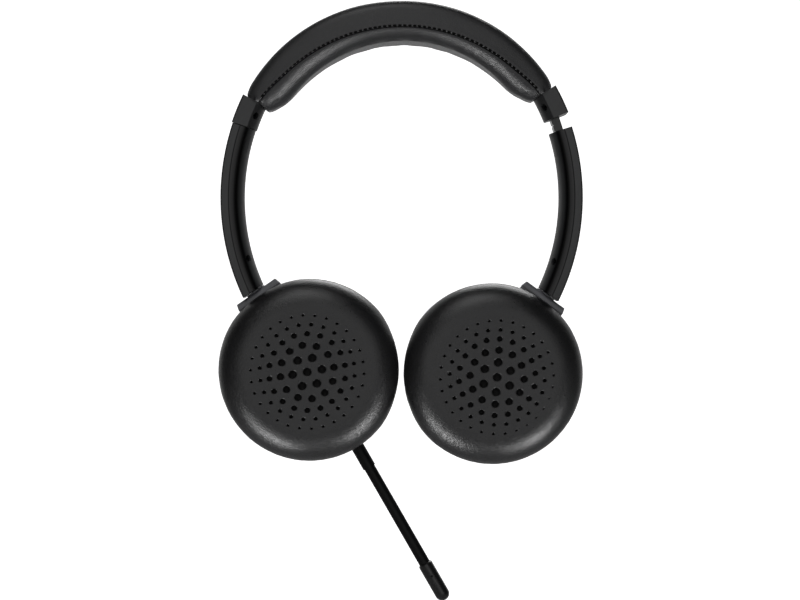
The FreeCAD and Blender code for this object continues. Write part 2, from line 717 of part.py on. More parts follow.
def arm(side, name):
    hy, outer, round_r, shoulder = arm_section()
    inner_corners = [(shoulder, f"-{hy}"), ("arm_parting_r", f"-{hy}"), ("arm_parting_r", hy),
                     (shoulder, hy, round_r)]
    arm_shell(side, f"arm_inner_shell_{name}", inner_corners, True)
    outer_corners = [("arm_parting_r", f"-{hy}"), (f"({outer} - arm_edge)", f"-{hy}", "arm_edge"),
                     (outer, f"-{hy} + arm_edge"), (outer, f"{hy} - arm_edge", "arm_edge"),
                     (f"({outer} - arm_edge)", hy), ("arm_parting_r", hy)]
    arm_shell(side, f"arm_outer_shell_{name}", outer_corners, False)
    keep(sunk_screw(side, "-arm_screw_angle"), f"arm_screw_{name}", arm_frame(side))
    leaf = new_body("leaf")
    face = "(arm_outer_r + arm_inner_r) / 2 - rail_inner - detent_gap"
    half = "(channel_half_depth - detent_side_gap)"
    leaf_corners = [(f"({face} - detent_thick)", f"-{half}"), (f"({face})", f"-{half}"),
                    (f"({face})", half), (f"({face} - detent_thick)", half)]
    sweep_arc(leaf, side, leaf_corners, "arm_top - detent_start", "detent_sweep")
    keep(leaf, f"detent_spring_{name}", arm_frame(side))
    base, up = swivel_point(side, "arm_end")
    tube = cylinder("bush_tube", "bush_r", "bush_top - arm_end", base, up)
    hole = cylinder("bush_hole", "axle_r + fit_gap", "bush_top - arm_end", base, up)
    keep(cut(tube, hole, "bush"), f"swivel_bush_{name}", arm_frame(side))


# ---- end caps and rails ----

def cap_frame(side):
    return Placement(Vector(-side * number("arc_cross"), 0, -number("arc_drop")), Rotation())


def rail_frame(side):
    """Foot of the cap, with -Z the way the arm slides."""
    lean = number("arm_top") - (number("turn_right") if side > 0 else 0)
    return Placement(cap_foot(side), Rotation(Vector(0, 1, 0), -side * lean))


def end_cap(side, name):
    body = new_body("cap_blank")
    hy, outer, round_r, shoulder = arm_section("cap_proud")
    corners = [(shoulder, f"-{hy}"), (f"({outer} - arm_edge)", f"-{hy}", "arm_edge"),
               (outer, f"-{hy} + arm_edge"), (outer, f"{hy} - arm_edge", "arm_edge"),
               (f"({outer} - arm_edge)", hy), (shoulder, hy, round_r)]
    foot = f"arm_top + {cap_gap_angle()}"
    sweep_arc(body, side, corners, f"{foot} + cap_sweep", "cap_sweep")
    trimmed = []
    for along, up in ((30, 0), (-30, 0), (-30, 30), (30, 30)):
        trimmed.append((f"band_end_x + arc_cross + {along} * cos(band_end_slope) "
                        f"- {up} * sin(band_end_slope)",
                        f"arc_drop - band_end_drop + {along} * sin(band_end_slope) "
                        f"+ {up} * cos(band_end_slope)"))
    pocket(body, draw(body, "XZ_Plane", [side_outline(side, trimmed)]))
    tenon(body, side)
    rail_hole = rail_blank(side, "rail_socket")
    place_in(rail_hole, cap_frame(side), rail_frame(side))
    socketed = cut(body, rail_hole, "socketed")
    hole = screw_hole(side, "cap_screw_angle", "cap_proud")
    keep(cut(socketed, hole, "cap"), f"end_cap_{name}", cap_frame(side))


def tenon(body, side):
    corners = [("tenon_inner_r", "-tenon_half_depth"), ("tenon_outer_r", "-tenon_half_depth"),
               ("tenon_outer_r", "tenon_half_depth"), ("tenon_inner_r", "tenon_half_depth")]
    sweep_arc(body, side, corners, "tenon_top", "tenon_top - cap_screw_angle")


def place_in(thing, host, own):
    """Place a tool that lives in its own frame inside a host frame."""
    thing.Placement = host.inverse().multiply(own)


def rail_blank(side, name):
    body = new_body(name)
    middle = "(arm_outer_r + arm_inner_r) / 2"
    wall = "(channel_outer_r - rail_clear)"
    face = "(rail_thick - rail_inner)"
    taper = f"sqrt({wall} ^ 2 - ({middle} + {face}) ^ 2)"
    tip = f"sqrt({wall} ^ 2 - rail_length ^ 2) - {middle}"
    sign = "" if side > 0 else "-"
    outline = [(f"{side} * ({tip})", "-rail_length", sign + wall),
               (f"{side} * {face}", f"-{taper}"),
               (f"{side} * {face}", "rail_root"),
               (f"{-side} * rail_inner", "rail_root"),
               (f"{-side} * rail_inner", "-rail_length")]
    pad(body, draw(body, "XZ_Plane", [outline]), "2 * rail_half_depth")
    return body


def rail(side, name):
    body = rail_blank(side, "rail_blank")
    count = int(number("(rail_length - 2 * notch_pitch) / notch_pitch"))
    notches = [(f"{-side} * rail_inner", f"-notch_pitch * {step + 1}", "notch_depth")
               for step in range(count)]
    pocket(body, draw(body, "XZ_Plane", circles=notches))
    hole = screw_hole(side, "cap_screw_angle", "cap_proud")
    place_in(hole, rail_frame(side), cap_frame(side))
    keep(cut(body, hole, "rail"), f"slide_rail_{name}", rail_frame(side))


def cap_screws():
    screws = []
    for side in SIDES.values():
        one = sunk_screw(side, "cap_screw_angle", "cap_proud")
        one.Placement = cap_frame(side).multiply(one.Placement)
        screws.append(one)
    keep(group(screws, "screws"), "cap_screws")


# ---- yoke ----

def yoke(side, name):
    body = new_body("yoke_blank")
    foot = "yoke_top - yoke_block"
    block = [("-yoke_half_width - yoke_flare", foot), ("yoke_half_width + yoke_flare", foot),
             ("yoke_half_width", "yoke_top"), ("-yoke_half_width", "yoke_top")]
    pad(body, draw(body, "XY_Plane", [block]), "2 * yoke_half_depth")
    hem = "housing_r + apron_over_rim"
    apron = [("-yoke_half_width - yoke_flare", hem), ("yoke_half_width + yoke_flare", hem),
             ("yoke_half_width + yoke_flare", foot), ("-yoke_half_width - yoke_flare", foot)]
    pad(body, draw(body, "XY_Plane", [apron]), "2 * apron_half_depth")
    web = [("-barrel_half", f"{foot} + yoke_block / 2"), ("-barrel_half", "tilt_height"),
           ("barrel_half", "tilt_height"), ("barrel_half", f"{foot} + yoke_block / 2")]
    pad(body, draw(body, "XY_Plane", [web], offset="-tilt_behind"), "2 * web_half_depth")
    circle = [("tilt_height", "-tilt_behind", "barrel_r")]
    last = pad(body, draw(body, "YZ_Plane", circles=circle), "2 * barrel_half")
    top = number("yoke_top")
    fillet(body, last, "yoke_round",
           lambda edge: abs(edge.BoundBox.YMin - top) < 0.01 and abs(edge.BoundBox.YMax - top) < 0.01
           and edge.BoundBox.XLength > number("yoke_half_width"))
    pin_hole = [("tilt_height", "-tilt_behind", "tilt_pin_r + fit_gap")]
    pocket(body, draw(body, "YZ_Plane", circles=pin_hole))
    up = Vector(0, 1, 0)
    axle_hole = cylinder("axle_hole", "axle_r", "axle_root + 1",
                         Vector(0, number("yoke_top - axle_root"), 0), up)
    seat = cylinder("seat", "collar_disc_r", "arm_end_gap - turn_gap", Vector(0, top, 0), up)
    keep(cut(fuse([body, seat], "seated"), axle_hole, "yoke"), f"yoke_{name}", cup_frame(side))
    shank = cylinder("axle_shank", "axle_r", "axle_top - yoke_top + axle_root",
                     Vector(0, number("yoke_top - axle_root"), 0), up)
    head = cylinder("axle_head", "axle_head_r", "axle_head", Vector(0, number("axle_top"), 0), up)
    keep(fuse([shank, head], "axle"), f"swivel_axle_{name}", cup_frame(side))


# ---- cups ----

def turned(name, outline):
    """A body of revolution about the cup's axis, from (radius, z) corners."""
    body = new_body(name)
    revolve(body, draw(body, "XZ_Plane", [outline]))
    return body


def washer(name, inner, outer, low, high):
    return turned(name, [(inner, low), (outer, low), (outer, high), (inner, high)])


def cup_housing(side, name):
    inner = "housing_r - housing_wall"
    body = turned("housing_blank", [
        (inner, "-housing_back"), ("housing_r", "-housing_back"),
        ("housing_r", "housing_front - housing_edge", "housing_edge"),
        ("housing_r - housing_edge", "housing_front"),
        ("deck_open_r", "housing_front"), ("deck_open_r", "deck_back"), (inner, "deck_back")])
    head = "tilt_height + knuckle_over_pin"
    foot = "tilt_height - knuckle_under_pin"
    hinge_box = [("-knuckle_half", foot), ("knuckle_half", foot),
                 ("knuckle_half", head), ("-knuckle_half", head)]
    rear = "housing_back - cover_lip - knuckle_gap"
    pad(body, draw(body, "XY_Plane", [hinge_box], offset=f"-({rear})"), f"{rear} + deck_back",
        both_ways=False)
    half = "(barrel_half + barrel_gap)"
    notch_foot = "tilt_height - notch_under_pin"
    notch = [(f"-{half}", notch_foot), (half, notch_foot), (half, "2 * housing_r"),
             (f"-{half}", "2 * housing_r")]
    pocket(body, draw(body, "XY_Plane", [notch], offset="-notch_back"), "notch_back + housing_front + 1",
           both_ways=False, flip=True)
    pin_hole = [("tilt_height", "-tilt_behind", "tilt_pin_r")]
    pocket(body, draw(body, "YZ_Plane", circles=pin_hole), "2 * tilt_pin_half")
    finished = cut(body, baffle_screw_holes(), "screwed")
    if side > 0:
        finished = cut(finished, fuse(control_openings(), "control_openings"), "housing")
    keep(finished, f"cup_housing_{name}", cup_frame(side))
    pin = cylinder("tilt_pin", "tilt_pin_r", "2 * tilt_pin_half",
                   Vector(-number("tilt_pin_half"), number("tilt_height"), -number("tilt_behind")),
                   Vector(1, 0, 0))
    keep(pin, f"tilt_pin_{name}", cup_frame(side))


def cup_cover(side, name):
    rim = "-(housing_back + cover_gap)"
    lip_r = "housing_r - housing_wall - cover_gap"
    edge_r = "(housing_r - cover_round)"
    dome_r = f"(({edge_r} ^ 2 + cover_dome ^ 2) / (2 * cover_dome))"
    inner_z = "-(cover_back - cover_wall)"
    body = turned("cover_blank", [
        ("0", "-cover_back", dome_r), (edge_r, "-cover_back + cover_dome", "cover_round"),
        ("housing_r", "-cover_back + cover_dome + cover_round"), ("housing_r", rim), (lip_r, rim),
        (lip_r, "-housing_back + cover_lip"), (f"{lip_r} - cover_lip_wall", "-housing_back + cover_lip"),
        (f"{lip_r} - cover_lip_wall", f"{inner_z} + cover_dome"), ("0", inner_z)])
    if side < 0:
        pocket(body, draw(body, "XY_Plane", circles=[("0", "0", "pivot_r + fit_gap")]))
    keep(body, f"cup_cover_{name}", cup_frame(side))


def screw_places():
    """Angles of the baffle screws about the cup's axis."""
    return [Placement(Vector(), Rotation(Vector(0, 0, 1), angle)) for angle in BAFFLE_SCREW_ANGLES]


def baffle_screw_holes():
    holes = []
    for turn in screw_places():
        hole = cylinder("hole", "screw_shank_r", "baffle_screw_length",
                        Vector(number("baffle_screw_r"), 0, number("deck_back - baffle_thick")))
        hole.Placement = turn.multiply(hole.Placement)
        holes.append(hole)
    return fuse(holes, "holes")


def sound_parts(side, name):
    back = "(deck_back - baffle_thick)"
    plate = washer("baffle_plate", "driver_r - driver_wall", "baffle_r", back, "deck_back")
    keep(cut(plate, baffle_screw_holes(), "baffle"), f"baffle_{name}", cup_frame(side))
    screws = []
    for turn in screw_places():
        one = screw("baffle_screw_length", Vector(number("baffle_screw_r"), 0, number(back)),
                    Vector(0, 0, 1))
        one.Placement = turn.multiply(one.Placement)
        screws.append(one)
    keep(group(screws, "screws"), f"baffle_screws_{name}", cup_frame(side))
    inner = "driver_r - driver_wall"
    basket = turned("basket", [
        ("0", f"{back} - driver_depth"), ("driver_r", f"{back} - driver_depth"),
        ("driver_r", f"{back} - driver_flange"), ("driver_flange_r", f"{back} - driver_flange"),
        ("driver_flange_r", back), (inner, back), (inner, f"{back} - driver_depth + driver_wall"),
        ("0", f"{back} - driver_depth + driver_wall")])
    keep(basket, f"driver_basket_{name}", cup_frame(side))
    low = f"{back} - driver_depth - magnet_thick"
    magnet = turned("magnet_blank", [("0", low), ("magnet_r", low), ("magnet_r", f"{low} + magnet_thick"),
                                     ("0", f"{low} + magnet_thick")])
    keep(magnet, f"driver_magnet_{name}", cup_frame(side))
    edge = f"{inner} - cone_gap"
    cone = turned("cone", [
        ("0", f"{back} - cone_rise"), ("cone_flat_r", f"{back} - cone_rise"),
        (edge, f"{back} - cone_thick"), (edge, back), ("cone_flat_r", f"{back} - cone_rise + cone_thick"),
        ("0", f"{back} - cone_rise + cone_thick")])
    keep(cone, f"diaphragm_{name}", cup_frame(side))
    mesh = turned("mesh", [("0", "deck_back"), ("mesh_r", "deck_back"),
                           ("mesh_r", "deck_back + mesh_thick"), ("0", "deck_back + mesh_thick")])
    keep(mesh, f"acoustic_mesh_{name}", cup_frame(side))


def cushion(side, name):
    ring = washer("ring", "ring_inner_r", "ring_r", "housing_front", "cushion_back")
    keep(ring, f"cushion_ring_{name}", cup_frame(side))
    body = turned("cushion_blank", [
        ("0", "cushion_back"), ("cushion_r - cushion_back_round", "cushion_back", "cushion_back_round"),
        ("cushion_r", "cushion_back + cushion_back_round"),
        ("cushion_r", "cushion_face - cushion_round", "cushion_round"),
        ("cushion_r - cushion_round", "cushion_face"), ("0", "cushion_face")])
    keep(body, f"ear_cushion_{name}", cup_frame(side))


def battery():
    cell = box("cell", ("-cell_half", "-cell_low", "-cell_front - cell_thick"),
               ("cell_half", "-cell_high", "-cell_front"))
    keep(cell, "battery", cup_frame(-1))


def circuit_board():
    board = turned("board", [("0", "-board_back"), ("board_r", "-board_back"),
                             ("board_r", "-board_back + board_thick"), ("0", "-board_back + board_thick")])
    keep(board, "circuit_board", cup_frame(1))


# ---- microphone boom ----

def boom_frame():
    return cup_frame(-1).multiply(Placement(Vector(), Rotation(Vector(0, 0, 1), -number("boom_turn"))))


def boom():
    near = "-(cover_back + boom_gap)"
    far = f"{near} - hub_thick"
    clip_low = "-(cover_back - cover_wall) + pivot_gap"
    down = Vector(0, -1, 0)
    hub = turned("hub_blank", [
        ("0", far), ("hub_r - hub_round", far, "hub_round"), ("hub_r", f"{far} + hub_round"),
        ("hub_r", near), ("pivot_r", near), ("pivot_r", f"{clip_low} + pivot_head"),
        ("0", f"{clip_low} + pivot_head")])
    root = Vector(0, -number("boom_root"), -number("boom_behind"))
    bore = cylinder("boom_bore", "boom_r", "hub_r", root, down)
    keep(cut(hub, bore, "hub"), "boom_hub", boom_frame())
    clip = washer("clip", "pivot_r", "pivot_head_r", clip_low, f"{clip_low} + pivot_head")
    keep(clip, "hub_clip", boom_frame())
    stalk = cylinder("stalk", "boom_r", "boom_length - mic_length - boom_root", root, down)
    collar = cylinder("collar", "collar_r", "collar_end - hub_r",
                      Vector(0, -number("hub_r"), -number("boom_behind")), down)
    keep(fuse([stalk, collar], "boom"), "boom_arm", boom_frame())
    microphone()


def microphone():
    """The head at the boom's tip, turned about the boom's own axis, sound hole to the front."""
    along = Placement(Vector(0, -number("boom_length - mic_length"), -number("boom_behind")),
                      Rotation(Vector(1, 0, 0), 90))
    at = boom_frame().multiply(along)
    port = "mic_length - mic_port_from_tip"
    body = turned("mic_blank", [
        ("0", "0"), ("mic_r - mic_edge", "0"), ("mic_r", "mic_edge"),
        ("mic_r", "mic_length - mic_r", "mic_r"),
        ("0", "mic_length")])
    inner = "mic_r - mic_wall"
    low = f"{port} - mic_cavity / 2"
    high = f"{port} + mic_cavity / 2"
    cavity = [("0", low), (inner, low), (inner, high), ("0", high)]
    groove(body, draw(body, "XZ_Plane", [cavity]))
    hole = cylinder("port", "mic_port_r", "mic_r + 1", Vector(0, 0, number(port)), Vector(0, 1, 0))
    keep(cut(body, hole, "mic"), "mic_housing", at)
    capsule = cylinder("capsule", "capsule_r", "capsule_thick",
                       Vector(0, -number("capsule_thick") / 2, number(port)), Vector(0, 1, 0))
    keep(capsule, "mic_capsule", at)


# ---- controls, set round the right cup's rim ----

def rim_frame(name):
    """+X outwards through the rim, at the control's height."""
    turn = Placement(Vector(), Rotation(Vector(0, 0, 1), CONTROL_ANGLES[name]))
    return turn.multiply(Placement(Vector(0, 0, -number("control_behind")), Rotation()))


def rounded_bar(name, low, high, start, end, half_height):
    """A bar from low to high outwards, from start to end along the rim, with half-round ends."""
    middle = box(name, (low, f"{start} + {half_height}", f"-({half_height})"),
                 (high, f"{end} - ({half_height})", half_height))
    ends = []
    for along in (f"{start} + {half_height}", f"{end} - ({half_height})"):
        base = Vector(number(low), number(along), 0)
        ends.append(cylinder(name + "_end", half_height, f"({high}) - ({low})", base, Vector(1, 0, 0)))
    return fuse([middle, *ends], name)


def control_openings():
    tools = []
    outwards = Vector(1, 0, 0)
    inside = Vector(number("housing_r - housing_wall - 1"), 0, 0)
    for name in CONTROL_ANGLES:
        if name.endswith("button"):
            tool = cylinder("button_hole", "button_r + button_gap", "housing_wall + 2", inside, outwards)
        elif name == "status_lens":
            tool = cylinder("lens_hole", "lens_r", "housing_wall + 2", inside, outwards)
        elif name == "usb_socket":
            tool = rounded_bar("usb_hole", "housing_r - usb_depth", "housing_r + 1",
                               "-usb_half_width", "usb_half_width", "usb_half_height")
        else:
            tool = rounded_bar("slider_slot", "housing_r - housing_wall - 1", "housing_r + 1",
                               "-slider_half - button_gap", "slider_half + slider_travel + button_gap",
                               "slider_half_height + button_gap")
        tool.Placement = rim_frame(name).multiply(tool.Placement)
        tools.append(tool)
    return tools


def controls():
    outwards = Vector(1, 0, 0)
    wall = "housing_r - housing_wall"
    flange_foot = f"{wall} - button_rest_gap - button_flange"
    for name in CONTROL_ANGLES:
        at = cup_frame(1).multiply(rim_frame(name))
        if name.endswith("button"):
            foot = Vector(number(flange_foot), 0, 0)
            length = f"housing_r + button_proud - ({flange_foot})"
            stem = cylinder("stem", "button_r", length, foot, outwards)
            flange = cylinder("flange", "button_flange_r", "button_flange", foot, outwards)
            keep(fuse([stem, flange], "button"), name, at)
        elif name == "status_lens":
            lens = cylinder("lens", "lens_r", "housing_wall", Vector(number(wall), 0, 0), outwards)
            keep(lens, name, at)
        elif name == "usb_socket":
            keep(usb_socket(), name, at)
        else:
            low = f"{wall} - button_rest_gap - button_flange"
            knob = rounded_bar("knob", low, "housing_r + button_proud", "-slider_half", "slider_half",
                               "slider_half_height")
            half = "(slider_half + slider_flange)"
            half_height = "(slider_half_height + slider_flange)"
            plate = box("slider_plate", (low, f"-{half}", f"-{half_height}"),
                        (f"{low} + button_flange / 2", half, half_height))
            keep(fuse([knob, plate], "slider"), name, at)


def usb_socket():
    shell = rounded_bar("usb_shell", "housing_r - usb_depth", "housing_r - usb_sunk",
                        "-usb_half_width", "usb_half_width", "usb_half_height")
    hollow = rounded_bar("usb_hollow", "housing_r - usb_depth + usb_wall", "housing_r",
                         "-(usb_half_width - usb_wall)", "usb_half_width - usb_wall",
                         "usb_half_height - usb_wall")
    tongue = box("usb_tongue", ("housing_r - usb_depth", "-usb_tongue_half_width", "-usb_wall"),
                 ("housing_r - usb_tongue_sunk", "usb_tongue_half_width", "usb_wall"))
    return fuse([cut(shell, hollow, "usb_tube"), tongue], "usb")


# ---- build, check and write ----

headband()
for name, side in SIDES.items():
    end_cap(side, name)
    rail(side, name)
    arm(side, name)
    yoke(side, name)
    cup_housing(side, name)
    cup_cover(side, name)
    sound_parts(side, name)
    cushion(side, name)
cap_screws()
battery()
circuit_board()
boom()
controls()
doc.recompute()

failed = [item.Label for item in doc.Objects if {"Invalid", "Error"} & set(item.State)]
if failed:
    raise RuntimeError("failed: " + ", ".join(failed))
for node in nodes:
    if node.Shape.isNull() or not node.Shape.isValid():
        raise RuntimeError(f"{node.Label} is not a valid shape")
for node in nodes:
    node.Shape.exportStep(f"parts/{node.Label}.step")
print(len(nodes), "sub-parts written")
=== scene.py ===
"""Looks of the office headset: stitched protein-leather headband on a foam pad, perforated ear
cushions, spark-textured plastics, slide rails, small screws and the boom microphone.
Lengths in the constants are millimetres; meshes are made in metres."""

import math

import bmesh
import bpy
from mathutils import Matrix, Vector, geometry, noise


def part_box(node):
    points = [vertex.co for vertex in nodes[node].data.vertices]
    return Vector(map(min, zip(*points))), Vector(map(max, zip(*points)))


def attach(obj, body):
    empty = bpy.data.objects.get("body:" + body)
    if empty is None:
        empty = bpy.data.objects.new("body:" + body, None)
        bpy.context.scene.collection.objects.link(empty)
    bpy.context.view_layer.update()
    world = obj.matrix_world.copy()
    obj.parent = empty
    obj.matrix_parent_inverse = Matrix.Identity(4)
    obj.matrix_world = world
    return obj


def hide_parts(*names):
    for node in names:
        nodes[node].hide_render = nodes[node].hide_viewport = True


MM = 0.001
SIDES = {"left": -1, "right": 1}

# headband, in its own plane: arcs of radius r about a point that far below the origin
BAND_OUTER_R, BAND_OUTER_DROP = 71.6, 56.2
SEAM_R, SEAM_DROP = 69.2, 64.5
PAD_R = 56.6
BAND_WIDTH, BAND_END_WIDTH = 30.0, 19.0
END_X, END_DROP, END_SLOPE = 58.8, 22.5, math.radians(31)
BAND_CORNER = 4.0
SEAM_OVER_ARC = 0.5
SEAM_LIFT_FROM, SEAM_LIFT = 44.0, 1.9      # the seam rises off its arc towards the end caps
PAD_LEAN = 0.012                           # the worn-in foam sits a little higher to the right
COVER_SWELL, COVER_SIDE_SWELL = 0.55, 0.55  # skin over the foam everywhere, and more down the sides
PAD_DROP, PAD_RISE = 0.05, 2.3             # the underside against its arc: at the crown, near the ends
PAD_RUN_OUT = (0.6, 3.6)                   # its flat run-out beside the end caps, outward and up
PAD_SHRINK, PAD_SWELL, PAD_PRESSURE = 0.35, 0.25, 2.0  # smaller before it swells by so much at most
SEAM_HOLD, SEAM_EASE = 1.0, 1.2            # the seam grips the pad this near, and lets go over so much more
STITCH_PITCH, STITCH_LENGTH, THREAD_R = 2.0, 1.5, 0.36
STITCH_LIFT, STITCH_OUT, STITCH_DIP = 0.3, 0.1, 0.22

# arms: arcs about a point across the middle from their own side; the right one is drawn out
ARM_OUTER_R, ARM_THICK = 95.4, 9.5
ARM_CENTRE = {"left": (21.3, -64.0), "right": (-21.96, -62.63)}
# painted light and shade across an arm, from its outer edge at 0 to its inner edge at 1: painted shade in
# the shells' joint and on the rounded inner face, a painted highlight at the inner edge
ARM_PAINTED_SHADE = [(0.0, "#242526"), (0.31, "#272829"), (0.35, "#020202"), (0.39, "#202021"),
             (0.53, "#161617"), (0.6, "#010101"), (0.7, "#060607"), (0.8, "#262728"), (1.0, "#3c3d3e")]

# ear cushions
CUSHION_FLAT_R = 24.6
CUSHION_EDGE = 11.0
CUSHION_BACK_EDGE = 3.2
HOLE_ROWS = [(0.0, 1.7), (6.0, 1.7), (10.9, 1.45), (15.4, 1.1), (19.1, 0.75), (22.8, 0.5)]
HOLE_START = {"left": 21.4, "right": 5.6}  # degrees clockwise from up, seen from the front
HOLE_CENTRE = {"left": (-0.5, -0.5), "right": (1.5, -1.1)}
HINGE_LEAN = {"left": -33.2, "right": 37.5}  # the hinge's place on the rim, degrees clockwise from up
HINGE_PULL = 0.6
PLUMP = {"left": 1.05, "right": 0.8}       # skin over the foam, beyond the drawn radius
CUSHION_SAG = {"left": (0.0, 0.0), "right": (0.6, -0.7)}
HOLE_LIP = 0.28                            # rounding round each hole
FACE_PITCH, RIM_COUNT = 0.95, 160          # spacing of the face's points, and points round the rim
EASE, EASE_FROM = 0.7, 0.75                # how far facing edges lie back, from this share of the radius

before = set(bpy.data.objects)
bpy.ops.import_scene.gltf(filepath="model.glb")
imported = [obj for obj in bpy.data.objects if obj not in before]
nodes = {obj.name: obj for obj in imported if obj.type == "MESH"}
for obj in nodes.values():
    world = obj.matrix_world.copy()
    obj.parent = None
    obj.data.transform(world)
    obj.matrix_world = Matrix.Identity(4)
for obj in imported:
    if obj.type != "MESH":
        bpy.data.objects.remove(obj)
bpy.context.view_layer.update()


# ---- materials ----

def linear(hex_colour):
    """An sRGB hex colour as linear RGBA."""
    channels = [int(hex_colour[i:i + 2], 16) / 255 for i in (1, 3, 5)]
    return tuple(c / 12.92 if c <= 0.04045 else ((c + 0.055) / 1.055) ** 2.4 for c in channels) + (1,)


def per_mm(size):
    """Pattern scale whose features are size millimetres."""
    return 1000 / size


def add(tree, kind, inputs=None, **settings):
    """One node with its settings; inputs are values, or sockets to link."""
    made = tree.nodes.new(kind)
    for name, value in settings.items():
        setattr(made, name, value)
    for key, value in (inputs or {}).items():
        if isinstance(value, bpy.types.NodeSocket):
            tree.links.new(value, made.inputs[key])
        else:
            made.inputs[key].default_value = value
    return made


def new_material(name):
    """An empty material with its output, shader and object coordinates."""
    material = bpy.data.materials.new(name)
    material.use_nodes = True
    tree = material.node_tree
    tree.nodes.clear()
    shader = add(tree, "ShaderNodeBsdfPrincipled")
    add(tree, "ShaderNodeOutputMaterial", {"Surface": shader.outputs[0]})
    place = add(tree, "ShaderNodeTexCoord").outputs["Object"]
    return material, tree, shader, place


def protein_leather(name, dark, light, roughness, grain):
    """Polyurethane skin embossed with a fine calf grain: soft highlights that break into specks."""
    material, tree, shader, place = new_material(name)
    wobble = add(tree, "ShaderNodeTexNoise", {"Vector": place, "Scale": per_mm(1.6), "Detail": 2.0})
    bent = add(tree, "ShaderNodeMix", {0: 0.0006, 4: place, 5: wobble.outputs["Color"]},
               data_type="VECTOR")
    cells = add(tree, "ShaderNodeTexVoronoi", {"Vector": bent.outputs[1], "Scale": per_mm(grain)},
                feature="DISTANCE_TO_EDGE")
    pebble = add(tree, "ShaderNodeMapRange", {"Value": cells.outputs["Distance"], "From Max": 0.28})
    fine = add(tree, "ShaderNodeTexNoise", {"Vector": place, "Scale": per_mm(grain * 0.55), "Detail": 3.0})
    mottle = add(tree, "ShaderNodeTexNoise", {"Vector": place, "Scale": per_mm(14), "Detail": 3.0})
    hide = add(tree, "ShaderNodeMath", {0: pebble.outputs[0], 1: fine.outputs["Fac"]},
               operation="MULTIPLY")
    tone = add(tree, "ShaderNodeMath", {0: hide.outputs[0], 1: mottle.outputs["Fac"]},
               operation="ADD")
    colour = add(tree, "ShaderNodeMix", {0: tone.outputs[0], 6: linear(dark), 7: linear(light)},
                 data_type="RGBA")
    rough = add(tree, "ShaderNodeMapRange", {"Value": fine.outputs["Fac"], "From Min": 0.3,
                "From Max": 0.7, "To Min": roughness - 0.07, "To Max": roughness + 0.09})
    swell = add(tree, "ShaderNodeBump", {"Strength": 0.2, "Distance": 0.0008,
                "Height": mottle.outputs["Fac"]})
    skin = add(tree, "ShaderNodeBump", {"Strength": 0.9, "Distance": 0.00007,
               "Height": hide.outputs[0], "Normal": swell.outputs[0]})
    tree.links.new(colour.outputs[2], shader.inputs["Base Color"])
    tree.links.new(rough.outputs[0], shader.inputs["Roughness"])
    tree.links.new(skin.outputs[0], shader.inputs["Normal"])
    shader.inputs["IOR"].default_value = 1.46
    return material


def moulded_plastic(name, dark, light, roughness, grit=0.35, depth=0.05, gloss=0.5):
    """Plastic moulded in a spark-eroded tool: an even satin grit, glossier in its hollows, with
    edges handled to a faint polish."""
    material, tree, shader, place = new_material(name)
    sparks = add(tree, "ShaderNodeTexNoise", {"Vector": place, "Scale": per_mm(grit), "Detail": 2.0})
    cloud = add(tree, "ShaderNodeTexNoise", {"Vector": place, "Scale": per_mm(9), "Detail": 4.0})
    edge = add(tree, "ShaderNodeBevel", {"Radius": 0.0005}, samples=4)
    surface = add(tree, "ShaderNodeNewGeometry")
    facing = add(tree, "ShaderNodeVectorMath", {0: edge.outputs[0], 1: surface.outputs["Normal"]},
                 operation="DOT_PRODUCT")
    worn = add(tree, "ShaderNodeMapRange", {"Value": facing.outputs["Value"], "From Min": 0.8,
               "From Max": 0.995, "To Min": 1.0, "To Max": 0.0})
    colour = add(tree, "ShaderNodeMix", {0: cloud.outputs["Fac"], 6: linear(dark), 7: linear(light)},
                 data_type="RGBA")
    rough = add(tree, "ShaderNodeMapRange", {"Value": sparks.outputs["Fac"], "From Min": 0.25,
                "From Max": 0.75, "To Min": roughness - 0.06, "To Max": roughness + 0.06})
    polished = add(tree, "ShaderNodeMix", {0: worn.outputs[0], 2: rough.outputs[0],
                   3: roughness - 0.13}, data_type="FLOAT")
    grain = add(tree, "ShaderNodeBump", {"Strength": 0.4, "Distance": depth * MM,
                "Height": sparks.outputs["Fac"]})
    tree.links.new(colour.outputs[2], shader.inputs["Base Color"])
    tree.links.new(polished.outputs[0], shader.inputs["Roughness"])
    tree.links.new(grain.outputs[0], shader.inputs["Normal"])
    shader.inputs["IOR"].default_value = 1.5
    shader.inputs["Specular IOR Level"].default_value = gloss
    return material


